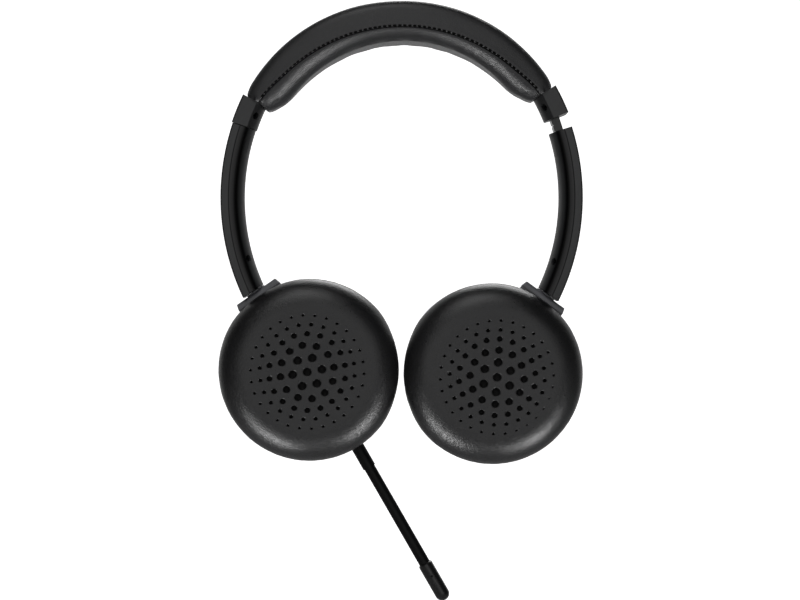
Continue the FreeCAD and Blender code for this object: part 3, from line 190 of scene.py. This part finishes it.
def painted_light_arm_plastic(name, centre_x, centre_z):
    """The arm's plastic, its colour turned about its arc: painted shade in the shells' joint and in the foot
    of the rounded inner face, and a painted highlight on the crest of the inner edge."""
    material, tree, shader, place = new_material(name)
    across = add(tree, "ShaderNodeVectorMath", {0: place, 1: (1, 0, 1)}, operation="MULTIPLY")
    radius = add(tree, "ShaderNodeVectorMath", {0: across.outputs[0],
                 1: (centre_x * MM, 0, centre_z * MM)}, operation="DISTANCE")
    inward = add(tree, "ShaderNodeMapRange", {"Value": radius.outputs["Value"], "From Min": ARM_OUTER_R * MM,
                 "From Max": (ARM_OUTER_R - ARM_THICK) * MM})
    # the colour ramp is painted light and shade across the arm, not the plastic's own colour
    tone = add(tree, "ShaderNodeValToRGB", {"Fac": inward.outputs[0]})
    ramp = tone.color_ramp
    for index, (at, colour) in enumerate(ARM_PAINTED_SHADE):
        stop = ramp.elements[index] if index < 2 else ramp.elements.new(at)
        stop.position, stop.color = at, linear(colour)
    sparks = add(tree, "ShaderNodeTexNoise", {"Vector": place, "Scale": per_mm(0.4), "Detail": 2.0})
    rough = add(tree, "ShaderNodeMapRange", {"Value": sparks.outputs["Fac"], "From Min": 0.25,
                "From Max": 0.75, "To Min": 0.36, "To Max": 0.5})
    shade = add(tree, "ShaderNodeMix", {0: 0.35, 6: tone.outputs[0], 7: sparks.outputs["Color"]},
                data_type="RGBA", blend_type="SOFT_LIGHT")
    grain = add(tree, "ShaderNodeBump", {"Strength": 0.5, "Distance": 0.00005,
                "Height": sparks.outputs["Fac"]})
    # gloss drops where the painted shade is darkest
    painted_shade_gloss = add(tree, "ShaderNodeMapRange", {"Value": tone.outputs[0], "From Max": 0.018,
                "To Min": 0.06, "To Max": 0.5})
    tree.links.new(painted_shade_gloss.outputs[0], shader.inputs["Specular IOR Level"])
    tree.links.new(shade.outputs[2], shader.inputs["Base Color"])
    tree.links.new(rough.outputs[0], shader.inputs["Roughness"])
    tree.links.new(grain.outputs[0], shader.inputs["Normal"])
    return material


def black_zinc_steel(name, tint, roughness):
    """Turned or pressed steel: fine tool lines that stretch the highlight."""
    material, tree, shader, place = new_material(name)
    stretched = add(tree, "ShaderNodeMapping", {"Vector": place, "Scale": (1, 1, 14)})
    lines = add(tree, "ShaderNodeTexNoise", {"Vector": stretched.outputs[0], "Scale": per_mm(1.2),
                "Detail": 3.0})
    rough = add(tree, "ShaderNodeMapRange", {"Value": lines.outputs["Fac"],
                "To Min": roughness - 0.08, "To Max": roughness + 0.12})
    ridge = add(tree, "ShaderNodeBump", {"Strength": 0.2, "Distance": 0.00002,
                "Height": lines.outputs["Fac"]})
    tree.links.new(rough.outputs[0], shader.inputs["Roughness"])
    tree.links.new(ridge.outputs[0], shader.inputs["Normal"])
    shader.inputs["Base Color"].default_value = linear(tint)
    shader.inputs["Metallic"].default_value = 1.0
    return material


def spun_thread(name, dark, light):
    """Bonded polyester thread: two plies twisted, seen as slanting ribs."""
    material, tree, shader, place = new_material(name)
    ribs = add(tree, "ShaderNodeTexWave", {"Vector": place, "Scale": per_mm(1.4), "Distortion": 0.6},
               wave_type="BANDS", bands_direction="DIAGONAL")
    colour = add(tree, "ShaderNodeMix", {0: ribs.outputs["Fac"], 6: linear(dark), 7: linear(light)},
                 data_type="RGBA")
    twist = add(tree, "ShaderNodeBump", {"Strength": 0.5, "Distance": 0.00006,
                "Height": ribs.outputs["Fac"]})
    tree.links.new(colour.outputs[2], shader.inputs["Base Color"])
    tree.links.new(twist.outputs[0], shader.inputs["Normal"])
    shader.inputs["Roughness"].default_value = 0.7
    shader.inputs["Specular IOR Level"].default_value = 0.08
    return material


def woven_cloth(name, dark, light, thread):
    """Acoustic cloth: a plain weave of fine threads, matt and open."""
    material, tree, shader, place = new_material(name)
    warp = add(tree, "ShaderNodeTexWave", {"Vector": place, "Scale": per_mm(thread) / math.tau},
               bands_direction="X")
    weft = add(tree, "ShaderNodeTexWave", {"Vector": place, "Scale": per_mm(thread) / math.tau},
               bands_direction="Z")
    cross = add(tree, "ShaderNodeMath", {0: warp.outputs["Fac"], 1: weft.outputs["Fac"]},
                operation="MULTIPLY")
    colour = add(tree, "ShaderNodeMix", {0: cross.outputs[0], 6: linear(dark), 7: linear(light)},
                 data_type="RGBA")
    weave = add(tree, "ShaderNodeBump", {"Strength": 0.6, "Distance": 0.0001,
                "Height": cross.outputs[0]})
    tree.links.new(colour.outputs[2], shader.inputs["Base Color"])
    tree.links.new(weave.outputs[0], shader.inputs["Normal"])
    shader.inputs["Roughness"].default_value = 0.85
    return material


LEATHER_BAND = protein_leather("leather_headband_side", "#141415", "#1e1e1f", 0.44, 0.8)
LEATHER_PAD = protein_leather("leather_headband_pad", "#0a0a0b", "#121214", 0.37, 0.8)
LEATHER_EAR = protein_leather("leather_ear_cushion", "#09090a", "#101011", 0.34, 0.8)
FOAM = moulded_plastic("reticulated_foam", "#020202", "#080808", 0.9, 0.8, 0.3)
THREAD = spun_thread("polyester_thread", "#020202", "#0b0b0c")
FINISHES = {
    "moulded_plastic": moulded_plastic("abs_spark_textured", "#1d1d1e", "#262728", 0.42),
    "inner_plastic": moulded_plastic("abs_inner_parts", "#161617", "#1f1f20", 0.5),
    "rail_plastic": moulded_plastic("acetal_rail", "#0c0c0d", "#131314", 0.3, 0.6, 0.02),
    "button_plastic": moulded_plastic("polycarbonate_buttons", "#1f2022", "#292a2c", 0.34, 0.4, 0.03),
    "lens": moulded_plastic("acrylic_lens", "#c8cdd0", "#d8dcde", 0.16, 0.8, 0.01),
    "steel": black_zinc_steel("steel_black_zinc", "#2c2d30", 0.34),
    "film": moulded_plastic("polyester_film", "#3a3a3c", "#48484b", 0.3, 0.7, 0.02),
    "mesh_fabric": woven_cloth("acoustic_cloth", "#060606", "#1a1a1b", 0.4),
    "protein_leather": LEATHER_BAND,
}
# The yokes' base colour is lightened as painted light: it stands in for the light their rounded tops catch
# from above.
YOKE_LIGHTENED = moulded_plastic("yoke_satin_painted_light", "#555659", "#616266", 0.36, 0.4, 0.02)
BOOM_RUBBER = moulded_plastic("boom_soft_touch", "#050506", "#0b0b0c", 0.5, 0.35, 0.03, gloss=0.2)
MIC_SHELL = moulded_plastic("polished_mic_shell", "#0c0c0d", "#161617", 0.3, 0.5, 0.02)
SPECIAL = {"yoke_left": YOKE_LIGHTENED, "yoke_right": YOKE_LIGHTENED, "boom_arm": BOOM_RUBBER,
           "mic_housing": MIC_SHELL}
for side_name, (x, z) in ARM_CENTRE.items():
    turned = painted_light_arm_plastic("painted_light_arm_plastic_" + side_name, x, z)
    SPECIAL["arm_outer_shell_" + side_name] = SPECIAL["arm_inner_shell_" + side_name] = turned


# ---- meshes ----

def piece(name, corners, faces, materials, picks=None):
    """A smooth-shaded mesh object from corners in millimetres."""
    mesh = bpy.data.meshes.new(name)
    mesh.from_pydata([Vector(c) * MM for c in corners], [], faces)
    mesh.validate()
    for material in materials:
        mesh.materials.append(material)
    for index, polygon in enumerate(mesh.polygons):
        polygon.use_smooth = True
        if picks:
            polygon.material_index = picks[index]
    made = bpy.data.objects.new(name, mesh)
    bpy.context.scene.collection.objects.link(made)
    return made


def modifier(made, kind, **settings):
    """Adds a modifier with its settings."""
    added = made.modifiers.new(kind.title(), kind)
    for name, value in settings.items():
        setattr(added, name, value)
    return added


def freeze(made):
    """Bakes an object's modifiers into its mesh."""
    graph = bpy.context.evaluated_depsgraph_get()
    baked = bpy.data.meshes.new_from_object(made.evaluated_get(graph))
    made.modifiers.clear()
    made.data = baked


def rings_to_faces(rings, count, closed=True):
    """Quads between neighbouring rings of count corners each."""
    faces = []
    last = count if closed else count - 1
    for ring in range(rings - 1):
        for i in range(last):
            j = (i + 1) % count
            faces.append((ring * count + i, ring * count + j, (ring + 1) * count + j,
                          (ring + 1) * count + i))
    return faces


# ---- headband ----

def end_height(x):
    """Height of the headband's end face at x."""
    return -END_DROP + (abs(x) - END_X) * math.tan(END_SLOPE)


def half_width(x):
    """Half the headband's width at x: one long arc from the crown to each end."""
    narrowing = (BAND_WIDTH - BAND_END_WIDTH) / 2
    radius = (END_X ** 2 + narrowing ** 2) / (2 * narrowing)
    return BAND_WIDTH / 2 - radius + math.sqrt(radius ** 2 - x ** 2)


def smooth(value):
    """An ease from 0 to 1."""
    value = min(max(value, 0.0), 1.0)
    return value * value * (3 - 2 * value)


def outer_point(angle):
    """The top of the headband, where the skin stands over its foam."""
    r = BAND_OUTER_R + COVER_SWELL + COVER_SIDE_SWELL * smooth(abs(angle) / 0.7)
    return Vector((r * math.sin(angle), 0, r * math.cos(angle) - BAND_OUTER_DROP))


def seam_point(angle):
    """The seam between side panel and pad."""
    x = SEAM_R * math.sin(angle)
    lift = SEAM_LIFT * smooth((abs(x) - SEAM_LIFT_FROM) / (END_X - SEAM_LIFT_FROM)) ** 1.3
    return Vector((x, 0, SEAM_R * math.cos(angle) - SEAM_DROP + SEAM_OVER_ARC + lift))


def under_point(angle):
    """The pad's underside: an arc that runs out flat near the end caps."""
    flat = smooth((abs(angle) - 0.86) / 0.3)
    point = Vector((PAD_R * math.sin(angle), 0, PAD_R * math.cos(angle) - PAD_R))
    point.z += PAD_LEAN * point.x - PAD_DROP + PAD_RISE * smooth((abs(angle) - 0.95) / 0.25)
    outward, up = PAD_RUN_OUT
    return point + Vector((math.copysign(outward, angle), 0, up)) * flat


def end_angle(curve):
    """Where a curve meets the end face."""
    low, high = 0.5, 1.4
    for _ in range(40):
        middle = (low + high) / 2
        point = curve(middle)
        if point.z > end_height(point.x):
            low = middle
        else:
            high = middle
    return low


def stations(fine):
    """Places along the headband from -1 to 1, closer together at its ends."""
    even = [i / fine for i in range(-fine, fine + 1)]
    return sorted(even + [s * (1 - d) for s in (-1, 1) for d in (0.002, 0.006, 0.012)])


def headband_cover():
    """The side panels and top, one skin whose lower edges fold in at the seam and whose ends
    tuck round the core."""
    outer_end, seam_end = end_angle(outer_point), end_angle(seam_point)
    corners = []
    places = stations(72)
    for t in places:
        top, low = outer_point(t * outer_end), seam_point(t * seam_end)
        from_end = (1 - abs(t)) * BAND_OUTER_R * outer_end
        tuck = 0.5 * max(0, 1 - from_end / 1.3) ** 2
        up = top - low
        height = up.length - tuck - 0.9 * max(0, 1 - from_end / 6) ** 2
        up.normalize()
        w = half_width(top.x) - tuck
        round_r = min(BAND_CORNER, 0.72 * height)
        section = [(w - 2.4, 0.6), (w - 1.2, 0.02), (w - 0.2, 0.0), (w - 0.04, 0.1), (w, 0.45),
                   (w + 0.2, 0.95), (w + 0.06, 1.6), (w + 0.1, max(2.2, (height - round_r) * 0.6))]
        for step in range(7):
            a = math.pi / 2 * step / 6
            section.append((w - round_r + round_r * math.cos(a), height - round_r + round_r * math.sin(a)))
        section += [((w - round_r) * f, height + 0.12 * (1 - f)) for f in (0.66, 0.33)]
        loop = section + [(0, height + 0.14)] + [(-y, h) for y, h in reversed(section)]
        for y, h in loop:
            at = low + up * h
            pull = noise.noise(Vector((at.x * 0.09, y * 0.16, at.z * 0.09))) * 0.10
            corners.append((at.x, -y * (half_width(at.x) - tuck) / w, at.z + pull))
    count = len(corners) // len(places)
    faces = rings_to_faces(len(places), count)
    faces.append(tuple(range(count)))
    faces.append(tuple(reversed(range(len(corners) - count, len(corners)))))
    made = piece("band_cover_skin", corners, faces, [LEATHER_BAND])
    face_outwards(made)
    return made


def face_outwards(made):
    """Turns every face of a closed form outwards."""
    work = bmesh.new()
    work.from_mesh(made.data)
    bmesh.ops.recalc_face_normals(work, faces=work.faces)
    work.to_mesh(made.data)
    work.free()


def pad_blank(shrink):
    """The foam pad's form: a long cushion from seam to seam that runs out at both ends."""
    seam_end, under_end = end_angle(seam_point), end_angle(under_point)
    corners = []
    places = stations(60)
    for t in places:
        top, low = seam_point(t * seam_end), under_point(t * under_end)
        from_end = (1 - abs(t)) * SEAM_R * seam_end
        closing = max(0.0, 1 - from_end / 5.5)
        plump = math.sqrt(max(0.0, 1 - closing ** 2.2))
        down = low - top
        depth = down.length * (0.7 + 0.3 * plump) - shrink
        down.normalize()
        w = half_width(top.x) - shrink - 1.3 * (1 - plump)
        section = [(w - 2.6, 0.0), (w - 1.2, -0.1)]
        slope = 0.34 - 0.24 * smooth(abs(top.x) / 42)
        round_r = depth / (1 - math.sin(slope))
        for step in range(17):
            a = slope + (math.pi / 2 - slope) * step / 16
            section.append((w - 0.08 - round_r * (math.cos(slope) - math.cos(a)),
                            0.2 + (round_r - 0.2) * (math.sin(a) - math.sin(slope))))
        inner = section[-1][0]
        section += [(inner * f, depth) for f in (0.66, 0.33)]
        loop = section + [(0, depth)] + [(-y, h) for y, h in reversed(section)]
        for y, h in loop:
            at = top + down * h
            corners.append((at.x, -y, at.z))
    count = len(corners) // len(places)
    faces = rings_to_faces(len(places), count)
    faces.append(tuple(range(count)))
    faces.append(tuple(reversed(range(len(corners) - count, len(corners)))))
    made = piece("band_pad_skin", corners, faces, [LEATHER_PAD])
    face_outwards(made)
    return made


PUFF_SCALE, PUFF_FRAMES = 10.0, 20


def puff(made, pressure, most, held):
    """Swells a closed form as foam fills its skin.  It is done at ten times life size, where cloth
    behaves; held(point) is how firmly a point, in millimetres, stays put."""
    made.data.transform(Matrix.Scale(PUFF_SCALE, 4))
    rest = [v.co.copy() for v in made.data.vertices]
    grip = made.vertex_groups.new(name="held")
    for index, point in enumerate(rest):
        grip.add([index], held(point / (MM * PUFF_SCALE)), "REPLACE")
    cloth = modifier(made, "CLOTH")
    settings = cloth.settings
    settings.use_pressure = True
    settings.uniform_pressure_force = pressure
    settings.effector_weights.gravity = 0
    settings.vertex_group_mass = "held"
    settings.tension_stiffness = 12
    settings.compression_stiffness = 12
    settings.bending_stiffness = 2
    settings.air_damping = 4
    cloth.point_cache.frame_start = 1
    cloth.point_cache.frame_end = PUFF_FRAMES
    scene = bpy.context.scene
    for step in range(1, PUFF_FRAMES + 1):
        scene.frame_set(step)
    freeze(made)
    scene.frame_set(1)
    cap = most * MM * PUFF_SCALE
    for vertex, start in zip(made.data.vertices, rest):
        move = vertex.co - start
        if move.length > cap:
            vertex.co = start + move.normalized() * cap
    made.data.transform(Matrix.Scale(1 / PUFF_SCALE, 4))
    made.vertex_groups.clear()


def headband_pad():
    """The pad's skin, swelled between the two seams that hold it."""
    made = pad_blank(PAD_SHRINK)
    seam_end = end_angle(seam_point)
    line = [seam_point(seam_end * i / 60) for i in range(-60, 61)]

    def held(point):
        flat = Vector((point.x, 0, point.z))
        gap = min((flat - at).length for at in line)
        return 1.0 if gap < SEAM_HOLD else max(0.0, 1 - (gap - SEAM_HOLD) / SEAM_EASE) * 0.8

    puff(made, PAD_PRESSURE, PAD_SWELL, held)
    modifier(made, "SUBSURF", levels=1, render_levels=1)
    for polygon in made.data.polygons:
        polygon.use_smooth = True
    return made


def stitches():
    """Lock stitches sunk in the fold between side panel and pad, front and rear."""
    seam_end = end_angle(seam_point)
    samples = 600
    line = [seam_point(seam_end * (2 * i / samples - 1)) for i in range(samples + 1)]
    lengths = [0.0]
    for a, b in zip(line, line[1:]):
        lengths.append(lengths[-1] + (b - a).length)
    corners, faces = [], []
    sides, rows = 8, (-0.5, -0.42, -0.25, 0.0, 0.25, 0.42, 0.5)
    swell = (0.35, 0.75, 0.98, 1.0, 0.98, 0.75, 0.35)
    stitch_count = int((lengths[-1] - 3.0) / STITCH_PITCH)
    start = (lengths[-1] - (stitch_count - 1) * STITCH_PITCH) / 2
    index = 0
    for number in range(stitch_count):
        at = start + number * STITCH_PITCH
        while lengths[index + 1] < at:
            index += 1
        centre = line[index]
        along = (line[index + 1] - line[index]).normalized()
        up = Vector((-along.z, 0, along.x))
        w = half_width(centre.x)
        for front in (-1, 1):
            first = len(corners)
            for place, fat in zip(rows, swell):
                dip = STITCH_DIP * (2 * place) ** 2
                for k in range(sides):
                    a = math.tau * k / sides
                    middle = centre + along * (place * STITCH_LENGTH) + up * STITCH_LIFT
                    middle += Vector((0, front * (w + STITCH_OUT - dip), 0))
                    ring = up * math.cos(a) * THREAD_R + Vector((0, math.sin(a) * THREAD_R, 0))
                    corners.append(middle + ring * fat)
            faces += [tuple(first + c for c in f) for f in rings_to_faces(len(rows), sides)]
            faces.append(tuple(first + k for k in reversed(range(sides))))
            faces.append(tuple(first + (len(rows) - 1) * sides + k for k in range(sides)))
    return piece("seam_stitches", corners, faces, [THREAD])


# ---- ear cushions ----

def cushion_height(r, depth):
    """Distance of the cushion's skin behind its face, at radius r."""
    if r <= CUSHION_FLAT_R:
        return 0.30 * math.cos(math.pi / 2 * r / CUSHION_FLAT_R)
    reach = min(1.0, (r - CUSHION_FLAT_R) / (depth - CUSHION_FLAT_R))
    return CUSHION_EDGE * (1 - math.sqrt(max(0.0, 1 - reach ** 2.15)))


def ear_cushion(side_name):
    """One cushion's skin: a face with six rows of holes, a rounded edge drawn in at the hinge, and
    the welt that grips the cup behind."""
    low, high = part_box("ear_cushion_" + side_name)
    low, high = Vector(low) / MM, Vector(high) / MM
    centre = (low + high) / 2 + Vector((CUSHION_SAG[side_name][0], 0, CUSHION_SAG[side_name][1]))
    radius = (high.x - low.x) / 2 + PLUMP[side_name]
    face_y, back_y = low.y, high.y
    corners, faces, picks = [], [], []

    def dent(x, z):
        """How uneven the foam is under the skin."""
        return noise.noise(Vector((x * 0.06, z * 0.06, SIDES[side_name] * 7.0))) * 0.12

    def skin(x, z, sink=0.0):
        """Adds a point of the front skin, sunk by so much."""
        r = math.hypot(x, z)
        depth = face_y + cushion_height(r, radius) + dent(x, z) + sink
        corners.append((centre.x + x, depth, centre.z + z))

    holes = []
    middle_x, middle_z = HOLE_CENTRE[side_name]
    for ring, (ring_r, hole_r) in enumerate(HOLE_ROWS):
        for k in range(max(1, 6 * ring)):
            a = math.radians(HOLE_START[side_name] + 360 * k / max(1, 6 * ring))
            holes.append((middle_x + ring_r * math.sin(a), middle_z + ring_r * math.cos(a), hole_r))
    flat_points, loops = [], []
    for x, z, r in holes:
        count = 20 if r > 1 else 14
        loops.append((len(flat_points), count))
        flat_points += [Vector((x + (r + HOLE_LIP) * math.cos(math.tau * k / count),
                                z + (r + HOLE_LIP) * math.sin(math.tau * k / count)))
                        for k in range(count)]
    rim_start = len(flat_points)
    flat_points += [Vector((CUSHION_FLAT_R * math.cos(math.tau * k / RIM_COUNT),
                            CUSHION_FLAT_R * math.sin(math.tau * k / RIM_COUNT)))
                    for k in range(RIM_COUNT)]
    span = int(CUSHION_FLAT_R / FACE_PITCH) + 1
    for row in range(-int(span * 1.16), int(span * 1.16) + 1):
        for column in range(-span, span + 1):
            x = (column + 0.5 * (row % 2)) * FACE_PITCH
            z = row * FACE_PITCH * math.sqrt(3) / 2
            if math.hypot(x, z) > CUSHION_FLAT_R - 0.6:
                continue
            if all(math.hypot(x - hx, z - hz) > r + HOLE_LIP + 0.4 for hx, hz, r in holes):
                flat_points.append(Vector((x, z)))
    spots, _, triangles, *origin = geometry.delaunay_2d_cdt(flat_points, [], [], 0, 1e-5)
    for spot in spots:
        skin(spot.x, spot.y)
    where = {}
    for index, sources in enumerate(origin[0]):
        for source in sources:
            where[source] = index
    for triangle in triangles:
        mid = sum((spots[i] for i in triangle), Vector((0, 0))) / 3
        if all(math.hypot(mid.x - hx, mid.y - hz) > (r + HOLE_LIP) * 0.97 for hx, hz, r in holes):
            faces.append(tuple(triangle))
            picks.append(0)
    for (first, count), (hx, hz, r) in zip(loops, holes):
        above = [where[first + k] for k in range(count)]
        for out, sink in ((0.14, 0.03), (0.05, 0.1), (0.0, 0.3), (0.0, 2.4)):
            below = []
            for k in range(count):
                a = math.tau * k / count
                below.append(len(corners))
                skin(hx + (r + out) * math.cos(a), hz + (r + out) * math.sin(a), sink)
            for k in range(count):
                n = (k + 1) % count
                faces.append((above[k], above[n], below[n], below[k]))
                picks.append(0 if sink < 1 else 1)
            above = below
        faces.append(tuple(above))
        picks.append(1)
    ring = [where[rim_start + k] for k in range(RIM_COUNT)]
    profile = []
    for step in range(1, 15):
        a = math.pi / 2 * step / 14
        r = CUSHION_FLAT_R + (radius - CUSHION_FLAT_R) * math.sin(a) ** 0.93
        profile.append((r, cushion_height(r, radius)))
    side_end = back_y - face_y - CUSHION_BACK_EDGE
    profile += [(radius, CUSHION_EDGE * 0.5 + side_end * 0.5)]
    profile += [(radius - 0.05, side_end - 0.5), (radius - 0.32, side_end - 0.1),
                (radius - 0.05, side_end + 0.35)]
    for step in range(1, 7):
        a = math.pi / 2 * step / 6
        profile.append((radius - 0.1 - CUSHION_BACK_EDGE * (1 - math.cos(a)),
                        side_end + CUSHION_BACK_EDGE * math.sin(a)))
    profile.append((27.0, back_y - face_y))
    for r, depth in profile:
        below = []
        for k in range(RIM_COUNT):
            a = math.tau * k / RIM_COUNT
            off_hinge = (math.degrees(math.pi / 2 - a) - HINGE_LEAN[side_name] + 180) % 360 - 180
            fold = noise.noise(Vector((40 * math.cos(a), 40 * math.sin(a), depth * 0.25)))
            gather = 0.07 * smooth(depth / 9) * fold
            gather -= HINGE_PULL * math.exp(-(off_hinge / 17) ** 2) * smooth((r - 27) / 7)
            uneven = dent(r * math.cos(a), r * math.sin(a)) * (1 - smooth(depth / 11))
            below.append(len(corners))
            corners.append((centre.x + (r + gather) * math.cos(a), face_y + depth + uneven,
                            centre.z + (r + gather) * math.sin(a)))
        for k in range(RIM_COUNT):
            n = (k + 1) % RIM_COUNT
            faces.append((ring[k], ring[n], below[n], below[k]))
            picks.append(0)
        ring = below
    faces.append(tuple(ring))
    picks.append(0)
    made = piece("ear_cushion_skin_" + side_name, corners, faces, [LEATHER_EAR, FOAM], picks)
    face_outwards(made)
    return made


def ease_apart(made, side_name):
    """Lays a cushion's edge back where the two face each other, so drawing an arm in never rubs."""
    toward = -SIDES[side_name]
    xs = [vertex.co.x for vertex in made.data.vertices]
    middle, reach = (max(xs) + min(xs)) / 2, (max(xs) - min(xs)) / 2
    for vertex in made.data.vertices:
        out = toward * (vertex.co.x - middle) / reach
        vertex.co.x -= toward * EASE * MM * smooth((out - EASE_FROM) / (1 - EASE_FROM))


# ---- dressing ----

for name, thing in nodes.items():
    row = [slot for slot in FINISHES if slot in (m.name for m in thing.data.materials if m)]
    finish = SPECIAL.get(name) or FINISHES[row[0] if row else "moulded_plastic"]
    for index in range(max(1, len(thing.data.materials))):
        if thing.data.materials:
            thing.data.materials[index] = finish
        else:
            thing.data.materials.append(finish)

cover = headband_cover()
pad = headband_pad()
thread = stitches()
for made in (cover, pad, thread):
    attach(made, "headband")
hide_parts("headband_cover")
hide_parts("headband_pad")
skins = [cover, pad]
for side_name in SIDES:
    cushion = ear_cushion(side_name)
    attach(cushion, "cup_" + side_name)
    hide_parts("ear_cushion_" + side_name)
    ease_apart(cushion, side_name)
    skins.append(cushion)


# ---- studio ----

def paper(name, own_light, mirrored):
    """Matt white paper.  The camera sees it lifted to white; it keeps shadows.  Mirrored is
    how brightly it shows in reflections."""
    material, tree, shader, _ = new_material(name)
    shader.inputs["Base Color"].default_value = linear("#e6e6e6")
    shader.inputs["Roughness"].default_value = 0.9
    path = add(tree, "ShaderNodeLightPath")
    seen = add(tree, "ShaderNodeMath", {0: path.outputs["Is Camera Ray"],
               1: path.outputs["Is Transmission Ray"]}, operation="MAXIMUM")
    direct = add(tree, "ShaderNodeMath", {0: seen.outputs[0], 1: own_light}, operation="MULTIPLY")
    lift = add(tree, "ShaderNodeMath", {0: path.outputs["Is Glossy Ray"], 1: mirrored, 2: direct.outputs[0]},
               operation="MULTIPLY_ADD")
    shader.inputs["Emission Color"].default_value = (1, 1, 1, 1)
    tree.links.new(lift.outputs[0], shader.inputs["Emission Strength"])
    return material


def sheet_of_paper(name, corners, own_light, mirrored):
    """One flat sheet of the studio."""
    made = piece(name, corners, [(0, 1, 2, 3)], [paper(name, own_light, mirrored)])
    return made


FLOOR_Z = -650.0
sheet_of_paper("studio_floor", [(-3000, -3000, FLOOR_Z), (3000, -3000, FLOOR_Z), (3000, 1600, FLOOR_Z),
                                (-3000, 1600, FLOOR_Z)], 0.8, 0.0)
sheet_of_paper("studio_backdrop", [(-3000, 1600, FLOOR_Z), (3000, 1600, FLOOR_Z), (3000, 1600, 2600),
                                   (-3000, 1600, 2600)], 1.0, 0.45)


def softbox(name, place, target, width, height, watts):
    """A rectangular soft light facing a target, in millimetres."""
    light = bpy.data.lights.new(name, "AREA")
    light.shape = "RECTANGLE"
    light.size, light.size_y, light.energy = width * MM, height * MM, watts
    made = bpy.data.objects.new(name, light)
    bpy.context.scene.collection.objects.link(made)
    place, target = Vector(place) * MM, Vector(target) * MM
    made.location = place
    made.visible_camera = False
    made.rotation_euler = (target - place).to_track_quat("-Z", "Y").to_euler()
    return made


MIDDLE = (0, 0, -105)
softbox("softbox_overhead", (-160, -520, 950), MIDDLE, 800, 500, 3)
softbox("softbox_front", (-180, -1000, 850), MIDDLE, 700, 400, 2.5)
softbox("softbox_fill", (0, -2200, 150), MIDDLE, 2600, 1500, 11)
softbox("softbox_rear", (250, 1050, 900), MIDDLE, 900, 600, 7)
strips = [softbox("strip_low_" + side_name, (320 * way, -315, -600), MIDDLE, 130, 230, 3.6)
          for side_name, way in SIDES.items()]

# The low strips serve the leather alone: hard plastic would mirror them as burnt edges.
leather = bpy.data.collections.new("leather_skins")
for made in skins:
    leather.objects.link(made)
for strip in strips:
    strip.light_linking.receiver_collection = leather

world = bpy.data.worlds.new("studio")
bpy.context.scene.world = world
world.use_nodes = True
sky = world.node_tree
sky.nodes.clear()
rays = add(sky, "ShaderNodeLightPath")
dim = add(sky, "ShaderNodeBackground", {"Color": (1, 1, 1, 1), "Strength": 0.05})
bright = add(sky, "ShaderNodeBackground", {"Color": (1, 1, 1, 1), "Strength": 1.0})
shown = add(sky, "ShaderNodeMath", {0: rays.outputs["Is Camera Ray"],
            1: rays.outputs["Is Transmission Ray"]}, operation="MAXIMUM")
both = add(sky, "ShaderNodeMixShader", {0: shown.outputs[0], 1: dim.outputs[0], 2: bright.outputs[0]})
add(sky, "ShaderNodeOutputWorld", {"Surface": both.outputs[0]})

lens = bpy.data.cameras.new("camera")
lens.lens = 93.3
lens.sensor_width = 36.0
lens.clip_start = 0.01
camera = bpy.data.objects.new("camera", lens)
bpy.context.scene.collection.objects.link(camera)
camera.matrix_world = (Matrix.Translation(Vector((-2.2, -850, -105.1)) * MM)
                       @ Matrix.Rotation(math.pi / 2, 4, "X") @ Matrix.Rotation(math.radians(-1.65), 4, "Z"))
bpy.context.scene.camera = camera
bpy.context.scene.view_settings.view_transform = "Standard"
